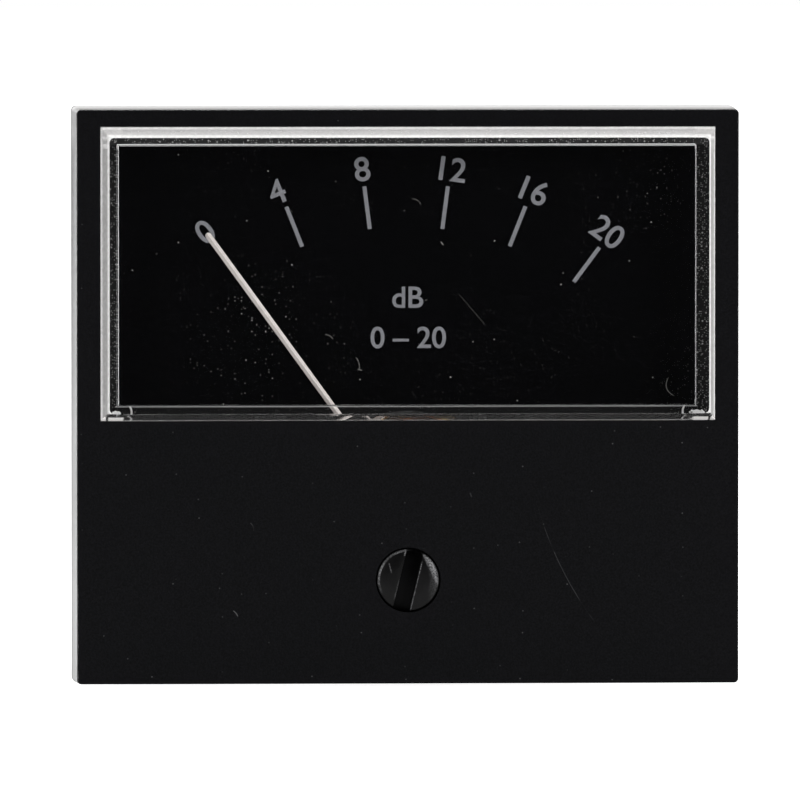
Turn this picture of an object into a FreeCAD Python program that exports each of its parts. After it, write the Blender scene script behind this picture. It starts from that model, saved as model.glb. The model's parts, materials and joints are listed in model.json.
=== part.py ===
import FreeCAD, Part
import math
import os
from FreeCAD import Vector

# Panel meter: a moving-coil movement in a round case behind a clear moulded cover.
# Sizes are in millimetres and angles in degrees.
# X runs to the right as the dial is read, Z runs up, and the face looks along -Y.
# The origin is the centre of the flange's rear face, which seats on the panel.

# ---- Front cover and the black mask on its face ----
face_width = 60.0
face_height = 52.0
face_corner = 0.4
cover_depth = 8.0
cover_draft = 1.5
cover_wall = 1.5
cover_plate = 1.6
pane_side_margin = 2.15
pane_top_margin = 1.56
face_below_pane = 23.84
pane_rise = 1.6
pane_slope = 0.7
pane_wall = 1.65
pane_foot_wall = 1.25
pane_glass = 1.5
pane_corner = 0.1
pane_wall_draft = 1.0
pane_skirt_depth = 1.1
mask_thickness = 0.12
mask_margin = 0.1
mask_foot_margin = 0.02
mask_top_corner = 0.15
mask_window_gap = 0.05

# ---- Rear case ----
flange_thickness = 2.0
rim_wall = 1.2
rim_clearance = 0.15
catch_radius = 0.35
catch_length = 12.0
barrel_wall = 1.6
barrel_edge = 0.8
barrel_above_axis = 8.7
barrel_clearance = 0.61
floor_clearance = 1.7
seat_boss_radius = 2.3
seat_rib_gauge = 1.2

# ---- Dial and pointer ----
axis_below_pane = 8.04
scale_sweep = 72.0
overtravel = 3.0
dial_depth = 5.0
dial_thickness = 0.5
dial_edge_gap = 0.5
dial_foot_above_axis = 3.6
dial_notch_radius = 8.8
pointer_top_gap = 2.14
pointer_width = 0.55
pointer_ridge = 0.28
pointer_edge = 0.1
pointer_gauge = 0.25
pointer_over_dial = 1.5
pointer_root_radius = 1.7
crank_inner_radius = 4.9
crank_outer_radius = 7.3
crank_bend = 0.3
stop_pin_radius = 0.4
stop_distance = 10.2
stop_height = 2.4

# ---- Magnet system ----
yoke_front = 0.2
core_length = 10.0
core_radius = 4.6
yoke_bore = 6.4
yoke_radius = 9.4
spacer_half_angle = 25.0
seat_gap = 0.02

# ---- Coil and what is stacked outwards from each of its ends ----
coil_inner_reach = 4.95
coil_end_gap = 0.5
former_gauge = 0.25
winding_gauge = 0.8
former_width = 3.0
winding_width = 2.8
winding_corner = 1.0
pivot_foot_radius = 1.6
pivot_foot_gauge = 0.65
pivot_stem_radius = 0.6
needle_radius = 0.25
needle_taper = 0.5
pivot_tip_radius = 0.03
boss_gauge = 0.4
boss_radius = 1.5
arm_width = 0.7
arm_reach = 6.2
spring_gap = 0.15
spring_width = 0.5
spring_gauge = 0.08
spring_pitch = 0.55
spring_half_turns = 9
collet_radius = 1.05
stem_past_spring = 0.35
needle_length = 0.95
jewel_overlap = 0.4
jewel_radius = 0.7
jewel_length = 0.7
jewel_cup_radius = 0.5
jewel_end_play = 0.08

# ---- Balance weights on the cross ----
tail_weight_radius = 1.0
tail_weight_length = 1.2
tail_weight_distance = 4.9
side_weight_radius = 0.65
side_weight_length = 0.8
side_weight_distance = 5.2
weight_slip = 0.02

# ---- Bridges, jewel screws and the frame that carries them ----
bridge_gauge = 1.0
bridge_height = 5.0
bridge_leg_clearance = 1.7
bridge_foot_past_screw = 1.6
bridge_bend = 0.4
jewel_screw_radius = 1.25
jewel_screw_past_nut = 0.2
jewel_nut_flats = 4.0
jewel_nut_gauge = 0.7
driver_slot = 0.4
frame_gauge = 1.6
frame_past_screw = 2.5
frame_above_axis = 8.6
frame_below_axis = 2.4
frame_top_corner = 2.2
frame_foot_corner = 4.0
frame_window_radius = 6.6
collar_wall = 0.95
collar_length = 3.0
frame_disc_radius = 10.4
pillar_gap = 0.1
pillar_radius = 1.8
dial_post_inset = 3.4
dial_post_above_axis = 6.5
dial_post_radius = 2.0
frame_screw_past_foot = 3.7
frame_screw_above_axis = 3.2
foot_screw_past_leg = 2.4
anchor_gauge = 0.3
anchor_width = 1.0

# ---- Zero adjuster ----
zero_below_axis = 6.4
zero_recess_radius = 2.95
zero_recess_depth = 1.1
zero_head_radius = 2.8
zero_head_gap = 0.1
zero_head_proud = 0.3
zero_head_dome = 0.25
zero_slot_width = 1.54
zero_slot_depth = 1.0
zero_slot_tilt = 13.6
zero_shank_radius = 1.6
zero_running_gap = 0.06
zero_boss_radius = 4.5
zero_boss_height = 1.0
zero_clip_radius = 2.8
zero_clip_gauge = 0.35
zero_clip_gap = 0.1
zero_shank_past_clip = 0.1
zero_pin_radius = 0.45
zero_pin_offset = 1.1
zero_pin_past_arm = 0.15
zero_arm_gauge = 0.4
zero_arm_gap = 0.1
zero_arm_hub_radius = 2.5
zero_arm_width = 2.8
zero_fork_play = 0.12
zero_fork_past_pin = 1.2
arm_washer_gauge = 0.1
arm_washer_radius = 2.2
spring_stud_radius = 0.25
spring_stud_distance = 3.6

# ---- Screws ----
dial_screw_radius = 0.8
dial_screw_head_radius = 1.5
dial_screw_head_height = 0.9
dial_screw_length = 3.0
frame_screw_radius = 1.25
frame_screw_head_radius = 2.1
frame_screw_head_height = 1.4
frame_screw_length = 9.0
bridge_screw_radius = 0.8
bridge_screw_head_radius = 1.45
bridge_screw_head_height = 0.9
foot_screw_length = 2.2
pillar_screw_length = 5.0
thread_gap = 0.02
screw_hole_gap = 0.1

# ---- Terminals and panel studs ----
terminal_x = 9.5
terminal_above_axis = 16.2
terminal_radius = 2.0
terminal_neck_radius = 1.8
terminal_head_flats = 7.0
terminal_head_gauge = 2.4
terminal_pocket_radius = 5.2
terminal_pocket_depth = 1.6
terminal_hole_gap = 0.1
terminal_washer_radius = 4.2
terminal_washer_gauge = 0.8
terminal_nut_flats = 7.0
terminal_nut_gauge = 2.4
terminal_free_length = 4.4
tag_gauge = 0.5
tag_ring_radius = 3.6
tag_tongue_width = 3.2
tag_tongue_reach = 8.5
tag_eye_radius = 0.8
panel_stud_radius = 1.5
panel_stud_length = 10.0
panel_stud_inset = 5.0
panel_stud_head_radius = 2.4
panel_stud_head_gauge = 1.0
panel_stud_knurl_radius = 1.8
stud_chamfer = 0.4

# ---- Leads ----
lead_x = 7.9
lead_radius = 0.45
lead_straight = 4.0
lead_front_drop = 5.0
lead_rear_drop = 10.5

# ---- Places across the face ----
pane_width = face_width - 2 * pane_side_margin
pane_top_z = face_height / 2 - pane_top_margin
pane_foot_z = face_below_pane - face_height / 2
pane_height = pane_top_z - pane_foot_z
pane_mid_z = (pane_top_z + pane_foot_z) / 2
axis_z = pane_foot_z - axis_below_pane
zero_z = axis_z - zero_below_axis
pointer_reach = pane_top_z - pane_wall - axis_z - pointer_top_gap
inner_width = face_width - 2 * cover_wall
inner_height = face_height - 2 * cover_wall
rim_width = inner_width - 2 * rim_clearance
rim_height = inner_height - 2 * rim_clearance
dial_width = inner_width - 2 * dial_edge_gap
dial_top_z = inner_height / 2 - dial_edge_gap
dial_foot_z = axis_z + dial_foot_above_axis
bridge_leg_distance = arm_reach + bridge_leg_clearance
foot_screw_distance = bridge_leg_distance + foot_screw_past_leg
bridge_foot_reach = foot_screw_distance + bridge_foot_past_screw
frame_screw_x = bridge_foot_reach + frame_screw_past_foot
frame_reach = frame_screw_x + frame_past_screw
frame_top_z = axis_z + frame_above_axis
frame_foot_z = axis_z - frame_below_axis
barrel_mid_z = axis_z + barrel_above_axis
frame_corner_x = frame_reach - frame_foot_corner
frame_corner_z = frame_foot_z + frame_foot_corner - barrel_mid_z
frame_corner_reach = math.hypot(frame_corner_x, frame_corner_z) + frame_foot_corner
frame_disc_reach = barrel_above_axis + frame_disc_radius
barrel_bore = max(frame_corner_reach, frame_disc_reach) + barrel_clearance
barrel_radius = barrel_bore + barrel_wall
frame_screw_z = axis_z + frame_screw_above_axis
dial_post_x = frame_screw_x - dial_post_inset
dial_post_z = axis_z + dial_post_above_axis
pillar_distance = yoke_radius + pillar_gap + pillar_radius
terminal_z = axis_z + terminal_above_axis
panel_stud_x = face_width / 2 - panel_stud_inset
panel_stud_z = face_height / 2 - panel_stud_inset

# ---- Planes across the depth, from the front to the rear ----
flange_front = -flange_thickness
cover_front = flange_front - cover_depth
cover_inner = cover_front + cover_plate
pane_front = cover_front - pane_rise
pane_inner = pane_front + pane_glass
skirt_rear = cover_inner + pane_skirt_depth
mask_front = cover_front - mask_thickness
dial_front = cover_front + dial_depth
dial_rear = dial_front + dial_thickness
blade_rear = dial_front - pointer_over_dial
yoke_rear = yoke_front + core_length
frame_front = yoke_front - frame_gauge

# ---- Distances outwards from either end face of the coil ----
boss_from = pivot_foot_gauge
boss_to = boss_from + boss_gauge
root_to = boss_to + pointer_gauge
spring_from = root_to + spring_gap
spring_to = spring_from + spring_width
stem_to = spring_to + stem_past_spring
tip_to = stem_to + needle_length
bridge_from = tip_to
bridge_to = bridge_from + bridge_gauge
jewel_from = tip_to - jewel_overlap
jewel_to = jewel_from + jewel_length
front_nut_from = bridge_to + 2 * zero_arm_gap + zero_arm_gauge + arm_washer_gauge
rear_nut_from = bridge_to + anchor_gauge

front = -1
rear = 1
coil_end = {
    front: yoke_front - coil_end_gap - former_gauge - winding_gauge,
    rear: yoke_rear + coil_end_gap + former_gauge + winding_gauge,
}
nut_from = {front: front_nut_from, rear: rear_nut_from}

# ---- Planes of the case's rear wall and of what stands on it ----
jewel_screw_to = rear_nut_from + jewel_nut_gauge + jewel_screw_past_nut
barrel_floor = coil_end[rear] + jewel_screw_to + floor_clearance
barrel_depth = barrel_floor + barrel_wall
terminal_washer_rear = barrel_depth + terminal_washer_gauge
inner_nut_rear = terminal_washer_rear + terminal_nut_gauge
tag_rear = inner_nut_rear + tag_gauge
outer_nut_rear = tag_rear + terminal_nut_gauge
terminal_end = outer_nut_rear + terminal_free_length
terminal_head_front = barrel_floor - terminal_head_gauge

rest_angle = -scale_sweep / 2
rear_width = face_width + 2 * cover_depth * math.tan(math.radians(cover_draft))
rear_height = face_height + 2 * cover_depth * math.tan(math.radians(cover_draft))
coil_reach = coil_inner_reach + former_gauge + winding_gauge


def level(side, outwards):
    # The y of a plane that lies this far outwards from one end of the coil.
    return coil_end[side] + side * outwards


def cylinder(radius, y_from, y_to, x=0.0, z=0.0):
    low = min(y_from, y_to)
    return Part.makeCylinder(radius, abs(y_to - y_from), Vector(x, low, z), Vector(0, 1, 0))


def ring(outer, inner, y_from, y_to, x=0.0, z=0.0):
    return cylinder(outer, y_from, y_to, x, z).cut(cylinder(inner, y_from, y_to, x, z))


def rounded_wire(corners, point):
    # A closed wire through (a, b, radius) corners, where point(a, b) gives the place in space.
    ends = []
    count = len(corners)
    for index, (a, b, radius) in enumerate(corners):
        before = corners[index - 1]
        after = corners[(index + 1) % count]
        corner = Vector(a, b, 0)
        to_before = (Vector(before[0], before[1], 0) - corner).normalize()
        to_after = (Vector(after[0], after[1], 0) - corner).normalize()
        if radius <= 0:
            ends.append((corner, None, corner))
            continue
        half = to_before.getAngle(to_after) / 2
        reach = radius / math.tan(half)
        bisector = (to_before + to_after).normalize()
        middle = corner + bisector * (radius / math.sin(half) - radius)
        ends.append((corner + to_before * reach, middle, corner + to_after * reach))
    edges = []
    for index, (start, middle, end) in enumerate(ends):
        places = [None if p is None else point(p.x, p.y) for p in (start, middle, end)]
        if middle is not None:
            edges.append(Part.Arc(*places).toShape())
        following = point(ends[(index + 1) % count][0].x, ends[(index + 1) % count][0].y)
        if (following - places[2]).Length > 1e-6:
            edges.append(Part.LineSegment(places[2], following).toShape())
    return Part.Wire(edges)


def plate(corners, y_from, y_to):
    # An outline of (x, z, radius) corners, as thick as the two planes are apart.
    wire = rounded_wire(corners, lambda a, b: Vector(a, y_from, b))
    return Part.Face(wire).extrude(Vector(0, y_to - y_from, 0))


def rectangle(width, height, radius, mid_x=0.0, mid_z=0.0):
    half_w = width / 2
    half_h = height / 2
    return [
        (mid_x - half_w, mid_z - half_h, radius),
        (mid_x + half_w, mid_z - half_h, radius),
        (mid_x + half_w, mid_z + half_h, radius),
        (mid_x - half_w, mid_z + half_h, radius),
    ]


def tapered_block(front_corners, y_front, rear_corners, y_rear):
    wires = [
        rounded_wire(front_corners, lambda a, b: Vector(a, y_front, b)),
        rounded_wire(rear_corners, lambda a, b: Vector(a, y_rear, b)),
    ]
    return Part.makeLoft(wires, True, True)


def hex_prism(flats, y_from, y_to, x=0.0, z=0.0):
    across = flats / math.sqrt(3)
    corners = [
        (
            x + across * math.sin(math.radians(60 * i)),
            z + across * math.cos(math.radians(60 * i)),
            0,
        )
        for i in range(6)
    ]
    return plate(corners, y_from, y_to)


def turned(points, x=0.0, z=0.0):
    # A profile of (radius, y) points, turned about an axis along Y.
    corners = [Vector(x + radius, y, z) for radius, y in points]
    face = Part.Face(Part.makePolygon(corners + [corners[0]]))
    return face.revolve(Vector(x, 0, z), Vector(0, 1, 0), 360)


def bent_strip(path, gauge, bend, point, run):
    # A strip of even gauge that follows a path of (a, b) points, rounded at each bend.
    count = len(path)
    sides = {1: [], -1: []}
    for index, (a, b) in enumerate(path):
        here = Vector(a, b, 0)
        ahead = Vector(*path[min(index + 1, count - 1)], 0) - Vector(*path[min(index, count - 2)], 0)
        behind = here - Vector(*path[index - 1], 0) if index else ahead
        ahead.normalize()
        behind.normalize()
        normal_in = Vector(-behind.y, behind.x, 0)
        normal_out = Vector(-ahead.y, ahead.x, 0)
        mitre = (normal_in + normal_out).normalize()
        reach = gauge / 2 / mitre.dot(normal_out)
        turn = behind.x * ahead.y - behind.y * ahead.x
        for side in sides:
            inside = side * turn > 1e-9
            outside = side * turn < -1e-9
            radius = bend if inside else bend + gauge if outside else 0
            corner = here + mitre * (side * reach)
            sides[side].append((corner.x, corner.y, radius))
    corners = sides[1] + sides[-1][::-1]
    wire = rounded_wire(corners, point)
    return Part.Face(wire).extrude(run)


def about_axis(shape, angle):
    # Turned about the movement's axis, clockwise as the dial is read.
    turned_shape = shape.copy()
    turned_shape.rotate(Vector(0, 0, axis_z), Vector(0, 1, 0), angle)
    return turned_shape


def at_rest(shape):
    # The moving pieces are drawn with the pointer upright and then swung to zero.
    return about_axis(shape, rest_angle)


def mirrored(shape):
    return shape.mirror(Vector(0, 0, 0), Vector(1, 0, 0))


def pair(shape):
    return Part.makeCompound([shape, mirrored(shape)])


def slotted_screw(x, z, seat_y, side, radius, length, head_radius, head_height):
    # side is the way the head points; the shank runs the other way from its seat.
    crown = head_height * 0.35
    profile = [
        (0, seat_y - side * length),
        (radius * 0.7, seat_y - side * length),
        (radius, seat_y - side * (length - radius * 0.5)),
        (radius, seat_y),
        (head_radius, seat_y),
        (head_radius, seat_y + side * (head_height - crown)),
        (head_radius - crown, seat_y + side * head_height),
        (0, seat_y + side * head_height),
    ]
    slot_from = seat_y + side * head_height * 0.5
    slot_to = seat_y + side * head_height * 1.5
    slot = plate(rectangle(3 * head_radius, driver_slot, 0, x, z), slot_from, slot_to)
    return turned(profile, x, z).cut(slot)


# ---- Cover, mask and case ----

def front_cover():
    shell = tapered_block(
        rectangle(face_width, face_height, face_corner),
        cover_front,
        rectangle(rear_width, rear_height, face_corner),
        flange_front,
    )
    hollow = plate(rectangle(inner_width, inner_height, face_corner), cover_inner, flange_front)
    pane = tapered_block(
        rectangle(pane_width - 2 * pane_slope, pane_height - 2 * pane_slope, pane_corner, 0, pane_mid_z),
        pane_front,
        rectangle(pane_width, pane_height, pane_corner, 0, pane_mid_z),
        cover_front,
    )
    skirt = plate(
        rectangle(pane_width, pane_height, pane_corner, 0, pane_mid_z), cover_inner, skirt_rear
    )
    clear_width = pane_width - 2 * pane_wall
    clear_height = pane_height - pane_wall - pane_foot_wall
    clear_mid_z = pane_mid_z + (pane_foot_wall - pane_wall) / 2
    spread = 2 * (skirt_rear - pane_inner) * math.tan(math.radians(pane_wall_draft))
    pane_hollow = tapered_block(
        rectangle(clear_width, clear_height, pane_corner, 0, clear_mid_z),
        pane_inner,
        rectangle(clear_width + spread, clear_height + spread, pane_corner, 0, clear_mid_z),
        skirt_rear,
    )
    boss = cylinder(zero_boss_radius, cover_inner, cover_inner + zero_boss_height, 0, zero_z)
    recess = cylinder(zero_recess_radius, cover_front, cover_front + zero_recess_depth, 0, zero_z)
    hole = cylinder(
        zero_shank_radius + zero_running_gap,
        cover_front,
        cover_inner + zero_boss_height,
        0,
        zero_z,
    )
    grooves = pair(catch(catch_radius + rim_clearance, catch_length + 2 * rim_clearance))
    body = shell.cut(hollow).fuse(pane).fuse(skirt).fuse(boss)
    return body.cut(pane_hollow).cut(recess).cut(hole).cut(grooves)


def catch(radius, length):
    # The rounded rib on the case's rim that snaps into the cover's wall.
    y = (dial_rear + flange_front) / 2
    return Part.makeCylinder(radius, length, Vector(rim_width / 2, y, -length / 2), Vector(0, 0, 1))


def face_mask():
    side = face_width / 2 - mask_margin
    top = face_height / 2 - mask_margin
    foot = mask_foot_margin - face_height / 2
    outline = [
        (-side, foot, face_corner),
        (side, foot, face_corner),
        (side, top, mask_top_corner),
        (-side, top, mask_top_corner),
    ]
    skin = plate(outline, mask_front, cover_front)
    window = plate(
        rectangle(
            pane_width + 2 * mask_window_gap, pane_height + 2 * mask_window_gap, 0, 0, pane_mid_z
        ),
        mask_front,
        cover_front,
    )
    hole = cylinder(zero_recess_radius, mask_front, cover_front, 0, zero_z)
    return skin.cut(window).cut(hole)


def rear_case():
    flange = plate(rectangle(rear_width, rear_height, face_corner), flange_front, 0)
    rim = plate(rectangle(rim_width, rim_height, face_corner), dial_rear, flange_front)
    rim_hollow = plate(
        rectangle(rim_width - 2 * rim_wall, rim_height - 2 * rim_wall, face_corner),
        dial_rear,
        flange_front,
    )
    barrel = turned(
        [
            (0, flange_front),
            (barrel_radius, flange_front),
            (barrel_radius, barrel_depth - barrel_edge),
            (barrel_radius - barrel_edge, barrel_depth),
            (0, barrel_depth),
        ],
        0,
        barrel_mid_z,
    )
    bore = cylinder(barrel_bore, flange_front, barrel_floor, 0, barrel_mid_z)
    ribs = pair(catch(catch_radius, catch_length))
    case = flange.fuse(rim.cut(rim_hollow)).fuse(barrel).fuse(ribs).cut(bore)
    seat_boss = cylinder(seat_boss_radius, yoke_front, barrel_floor, frame_screw_x, frame_screw_z)
    pocket_boss = cylinder(
        terminal_pocket_radius,
        barrel_floor - terminal_pocket_depth,
        barrel_floor,
        terminal_x,
        terminal_z,
    )
    wall_x = math.sqrt(barrel_bore**2 - (frame_screw_z - barrel_mid_z) ** 2)
    rib_length = wall_x + barrel_wall / 2 - frame_screw_x
    seat_rib = plate(
        rectangle(rib_length, seat_rib_gauge, 0, frame_screw_x + rib_length / 2, frame_screw_z),
        yoke_front,
        barrel_floor,
    )
    case = case.fuse(pair(seat_boss.fuse(seat_rib))).fuse(pair(pocket_boss))
    screw_hole = cylinder(
        frame_screw_radius + thread_gap,
        yoke_front,
        frame_front + frame_screw_length + frame_screw_radius,
        frame_screw_x,
        frame_screw_z,
    )
    pocket = hex_prism(
        terminal_head_flats + terminal_hole_gap,
        barrel_floor - terminal_pocket_depth,
        barrel_floor,
        terminal_x,
        terminal_z,
    )
    terminal_hole = cylinder(
        terminal_neck_radius + terminal_hole_gap,
        barrel_floor,
        barrel_depth,
        terminal_x,
        terminal_z,
    )
    case = case.cut(pair(screw_hole)).cut(pair(pocket)).cut(pair(terminal_hole))
    return case.cut(stud_group(stud_hole))


# ---- Studs through the flange and terminals through the case ----

def stud_group(make):
    places = [(x, z) for x in (-panel_stud_x, panel_stud_x) for z in (-panel_stud_z, panel_stud_z)]
    return Part.makeCompound([make(x, z) for x, z in places])


def stud_hole(x, z):
    head = cylinder(
        panel_stud_head_radius + thread_gap,
        flange_front,
        flange_front + panel_stud_head_gauge,
        x,
        z,
    )
    return head.fuse(cylinder(panel_stud_knurl_radius + thread_gap, flange_front, 0, x, z))


def panel_stud(x, z):
    head_rear = flange_front + panel_stud_head_gauge
    return turned(
        [
            (0, flange_front),
            (panel_stud_head_radius, flange_front),
            (panel_stud_head_radius, head_rear),
            (panel_stud_knurl_radius, head_rear),
            (panel_stud_knurl_radius, 0),
            (panel_stud_radius, 0),
            (panel_stud_radius, panel_stud_length - stud_chamfer),
            (panel_stud_radius - stud_chamfer, panel_stud_length),
            (0, panel_stud_length),
        ],
        x,
        z,
    )


def mounting_studs():
    return stud_group(panel_stud)


def terminals():
    neck_end = outer_nut_rear
    shank = turned(
        [
            (0, terminal_head_front),
            (terminal_neck_radius, terminal_head_front),
            (terminal_neck_radius, neck_end),
            (terminal_radius, neck_end),
            (terminal_radius, terminal_end - stud_chamfer),
            (terminal_radius - stud_chamfer, terminal_end),
            (0, terminal_end),
        ],
        terminal_x,
        terminal_z,
    )
    head = hex_prism(
        terminal_head_flats, terminal_head_front, barrel_floor, terminal_x, terminal_z
    )
    return pair(head.fuse(shank))


def terminal_bore(y_from, y_to):
    return cylinder(terminal_neck_radius + thread_gap, y_from, y_to, terminal_x, terminal_z)


def terminal_washers():
    disc = cylinder(
        terminal_washer_radius, barrel_depth, terminal_washer_rear, terminal_x, terminal_z
    )
    return pair(disc.cut(terminal_bore(barrel_depth, terminal_washer_rear)))


def terminal_nuts():
    nuts = []
    for y_from, y_to in ((terminal_washer_rear, inner_nut_rear), (tag_rear, outer_nut_rear)):
        nut = hex_prism(terminal_nut_flats, y_from, y_to, terminal_x, terminal_z)
        nut = nut.cut(terminal_bore(y_from, y_to))
        nuts += [nut, mirrored(nut)]
    return Part.makeCompound(nuts)


def solder_tags():
    eye_z = terminal_z + tag_tongue_reach
    disc = cylinder(tag_ring_radius, inner_nut_rear, tag_rear, terminal_x, terminal_z)
    tongue = plate(
        [
            (terminal_x - tag_tongue_width / 2, terminal_z, 0),
            (terminal_x + tag_tongue_width / 2, terminal_z, 0),
            (terminal_x + tag_tongue_width / 2, eye_z + tag_tongue_width / 2, tag_tongue_width * 0.45),
            (terminal_x - tag_tongue_width / 2, eye_z + tag_tongue_width / 2, tag_tongue_width * 0.45),
        ],
        inner_nut_rear,
        tag_rear,
    )
    eye = cylinder(tag_eye_radius, inner_nut_rear, tag_rear, terminal_x, eye_z)
    tag = disc.fuse(tongue).cut(eye).cut(terminal_bore(inner_nut_rear, tag_rear))
    return pair(tag)


def lead(path, side):
    # An insulated wire that lies in one plane of constant x, through (y, z) points.
    x = side * lead_x
    points = [Vector(x, y, z) for y, z in path]
    edges = []
    start = points[0]
    for index in range(1, len(points) - 1):
        corner = points[index]
        to_before = points[index - 1] - corner
        to_after = points[index + 1] - corner
        shorter = min(to_before.Length, to_after.Length)
        to_before.normalize()
        to_after.normalize()
        half = to_before.getAngle(to_after) / 2
        reach = 0.45 * shorter
        radius = reach * math.tan(half)
        middle = corner + (to_before + to_after).normalize() * (radius / math.sin(half) - radius)
        edges.append(Part.LineSegment(start, corner + to_before * reach).toShape())
        arc = Part.Arc(corner + to_before * reach, middle, corner + to_after * reach)
        edges.append(arc.toShape())
        start = corner + to_after * reach
    edges.append(Part.LineSegment(start, points[-1]).toShape())
    along = (points[1] - points[0]).normalize()
    profile = Part.Wire([Part.makeCircle(lead_radius, points[0], along)])
    return Part.Wire(edges).makePipeShell([profile], True, False)


def lead_wires():
    rear_y = (level(rear, bridge_from) + level(rear, bridge_to)) / 2
    front_y = (frame_front + dial_rear) / 2 + lead_radius
    top = axis_z + bridge_height / 2
    to_rear = [
        (terminal_head_front, terminal_z),
        (terminal_head_front - lead_straight, terminal_z),
        (rear_y, terminal_z - lead_rear_drop),
        (rear_y, top),
    ]
    to_front = [
        (terminal_head_front, terminal_z),
        (terminal_head_front - lead_straight, terminal_z),
        (front_y, terminal_z - lead_front_drop),
        (front_y, top),
    ]
    return Part.makeCompound([lead(to_rear, -1), lead(to_front, 1)])


# ---- Dial ----

def dial_plate():
    half = dial_width / 2
    board = plate(
        [
            (-half, dial_foot_z, 1.0),
            (half, dial_foot_z, 1.0),
            (half, dial_top_z, 0.5),
            (-half, dial_top_z, 0.5),
        ],
        dial_front,
        dial_rear,
    )
    notch = cylinder(dial_notch_radius, dial_front, dial_rear, 0, axis_z)
    stop_holes = [cylinder(stop_pin_radius, dial_front, dial_rear, x, z) for x, z in stop_places()]
    screw_hole = cylinder(
        dial_screw_radius + screw_hole_gap, dial_front, dial_rear, dial_post_x, dial_post_z
    )
    return board.cut(notch).cut(stop_holes[0]).cut(stop_holes[1]).cut(pair(screw_hole))


def stop_places():
    # Where a stop meets the pointer's edge at each end of its travel.
    touch = pointer_width / 2 + stop_pin_radius + seat_gap
    angle = scale_sweep / 2 + overtravel + math.degrees(math.asin(touch / stop_distance))
    x = stop_distance * math.sin(math.radians(angle))
    z = axis_z + stop_distance * math.cos(math.radians(angle))
    return [(-x, z), (x, z)]


def pointer_stops():
    pins = []
    for x, z in stop_places():
        pin = turned(
            [
                (0, dial_front - stop_height),
                (stop_pin_radius - 0.1, dial_front - stop_height),
                (stop_pin_radius, dial_front - stop_height + 0.1),
                (stop_pin_radius, dial_rear),
                (stop_pin_radius * 1.75, dial_rear),
                (stop_pin_radius * 1.75, dial_rear + 0.3),
                (0, dial_rear + 0.3),
            ],
            x,
            z,
        )
        pins.append(pin)
    return Part.makeCompound(pins)


def dial_screws():
    return pair(
        slotted_screw(
            dial_post_x,
            dial_post_z,
            dial_front,
            front,
            dial_screw_radius,
            dial_screw_length,
            dial_screw_head_radius,
            dial_screw_head_height,
        )
    )


# ---- Magnet system and frame ----

def core_magnet():
    return cylinder(core_radius, yoke_front, yoke_rear, 0, axis_z)


def yoke_ring():
    return ring(yoke_radius, yoke_bore, yoke_front, yoke_rear, 0, axis_z)


def core_spacers():
    inner = core_radius + seat_gap
    outer = yoke_bore - seat_gap
    reach = 2 * outer
    spread = reach * math.tan(math.radians(spacer_half_angle))
    sector = plate(
        [
            (0, axis_z, 0),
            (spread, axis_z + reach, 0),
            (-spread, axis_z + reach, 0),
        ],
        yoke_front,
        yoke_rear,
    )
    upper = ring(outer, inner, yoke_front, yoke_rear, 0, axis_z).common(sector)
    return Part.makeCompound([upper, about_axis(upper, 180)])


def movement_frame():
    body = plate(
        [
            (-frame_reach, frame_foot_z, frame_foot_corner),
            (frame_reach, frame_foot_z, frame_foot_corner),
            (frame_reach, frame_top_z, frame_top_corner),
            (-frame_reach, frame_top_z, frame_top_corner),
        ],
        frame_front,
        yoke_front,
    )
    body = body.fuse(cylinder(frame_disc_radius, frame_front, yoke_front, 0, axis_z))
    collar_bore = yoke_radius + seat_gap
    collar = ring(
        collar_bore + collar_wall, collar_bore, yoke_front, yoke_front + collar_length, 0, axis_z
    )
    pillar_end = level(rear, bridge_from)
    pillar = cylinder(pillar_radius, yoke_front, pillar_end, pillar_distance, axis_z)
    post = cylinder(dial_post_radius, dial_rear, frame_front, dial_post_x, dial_post_z)
    body = body.fuse(collar).fuse(pair(pillar)).fuse(pair(post))
    body = body.cut(cylinder(yoke_radius + seat_gap, yoke_front, yoke_rear, 0, axis_z))
    window = cylinder(frame_window_radius, frame_front, yoke_front, 0, axis_z)
    seat_hole = cylinder(
        frame_screw_radius + screw_hole_gap, frame_front, yoke_front, frame_screw_x, frame_screw_z
    )
    post_hole = cylinder(
        dial_screw_radius + thread_gap,
        dial_rear,
        dial_front + dial_screw_length + dial_screw_radius / 2,
        dial_post_x,
        dial_post_z,
    )
    foot_hole = cylinder(
        bridge_screw_radius + thread_gap, frame_front, yoke_front, foot_screw_distance, axis_z
    )
    pillar_hole = cylinder(
        bridge_screw_radius + thread_gap,
        pillar_end - pillar_screw_length,
        pillar_end,
        pillar_distance,
        axis_z,
    )
    for hole in (seat_hole, post_hole, foot_hole, pillar_hole):
        body = body.cut(pair(hole))
    return body.cut(window)


def frame_screws():
    return pair(
        slotted_screw(
            frame_screw_x,
            frame_screw_z,
            frame_front,
            front,
            frame_screw_radius,
            frame_screw_length,
            frame_screw_head_radius,
            frame_screw_head_height,
        )
    )


def front_bridge():
    foot_y = frame_front - bridge_gauge / 2
    bar_y = level(front, (bridge_from + bridge_to) / 2)
    low_z = axis_z - bridge_height / 2
    strip = bent_strip(
        [
            (-bridge_foot_reach, foot_y),
            (-bridge_leg_distance, foot_y),
            (-bridge_leg_distance, bar_y),
            (bridge_leg_distance, bar_y),
            (bridge_leg_distance, foot_y),
            (bridge_foot_reach, foot_y),
        ],
        bridge_gauge,
        bridge_bend,
        lambda a, b: Vector(a, b, low_z),
        Vector(0, 0, bridge_height),
    )
    foot_hole = cylinder(
        bridge_screw_radius + screw_hole_gap,
        frame_front - bridge_gauge,
        frame_front,
        foot_screw_distance,
        axis_z,
    )
    return strip.cut(jewel_screw_hole(front)).cut(pair(foot_hole))


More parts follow.
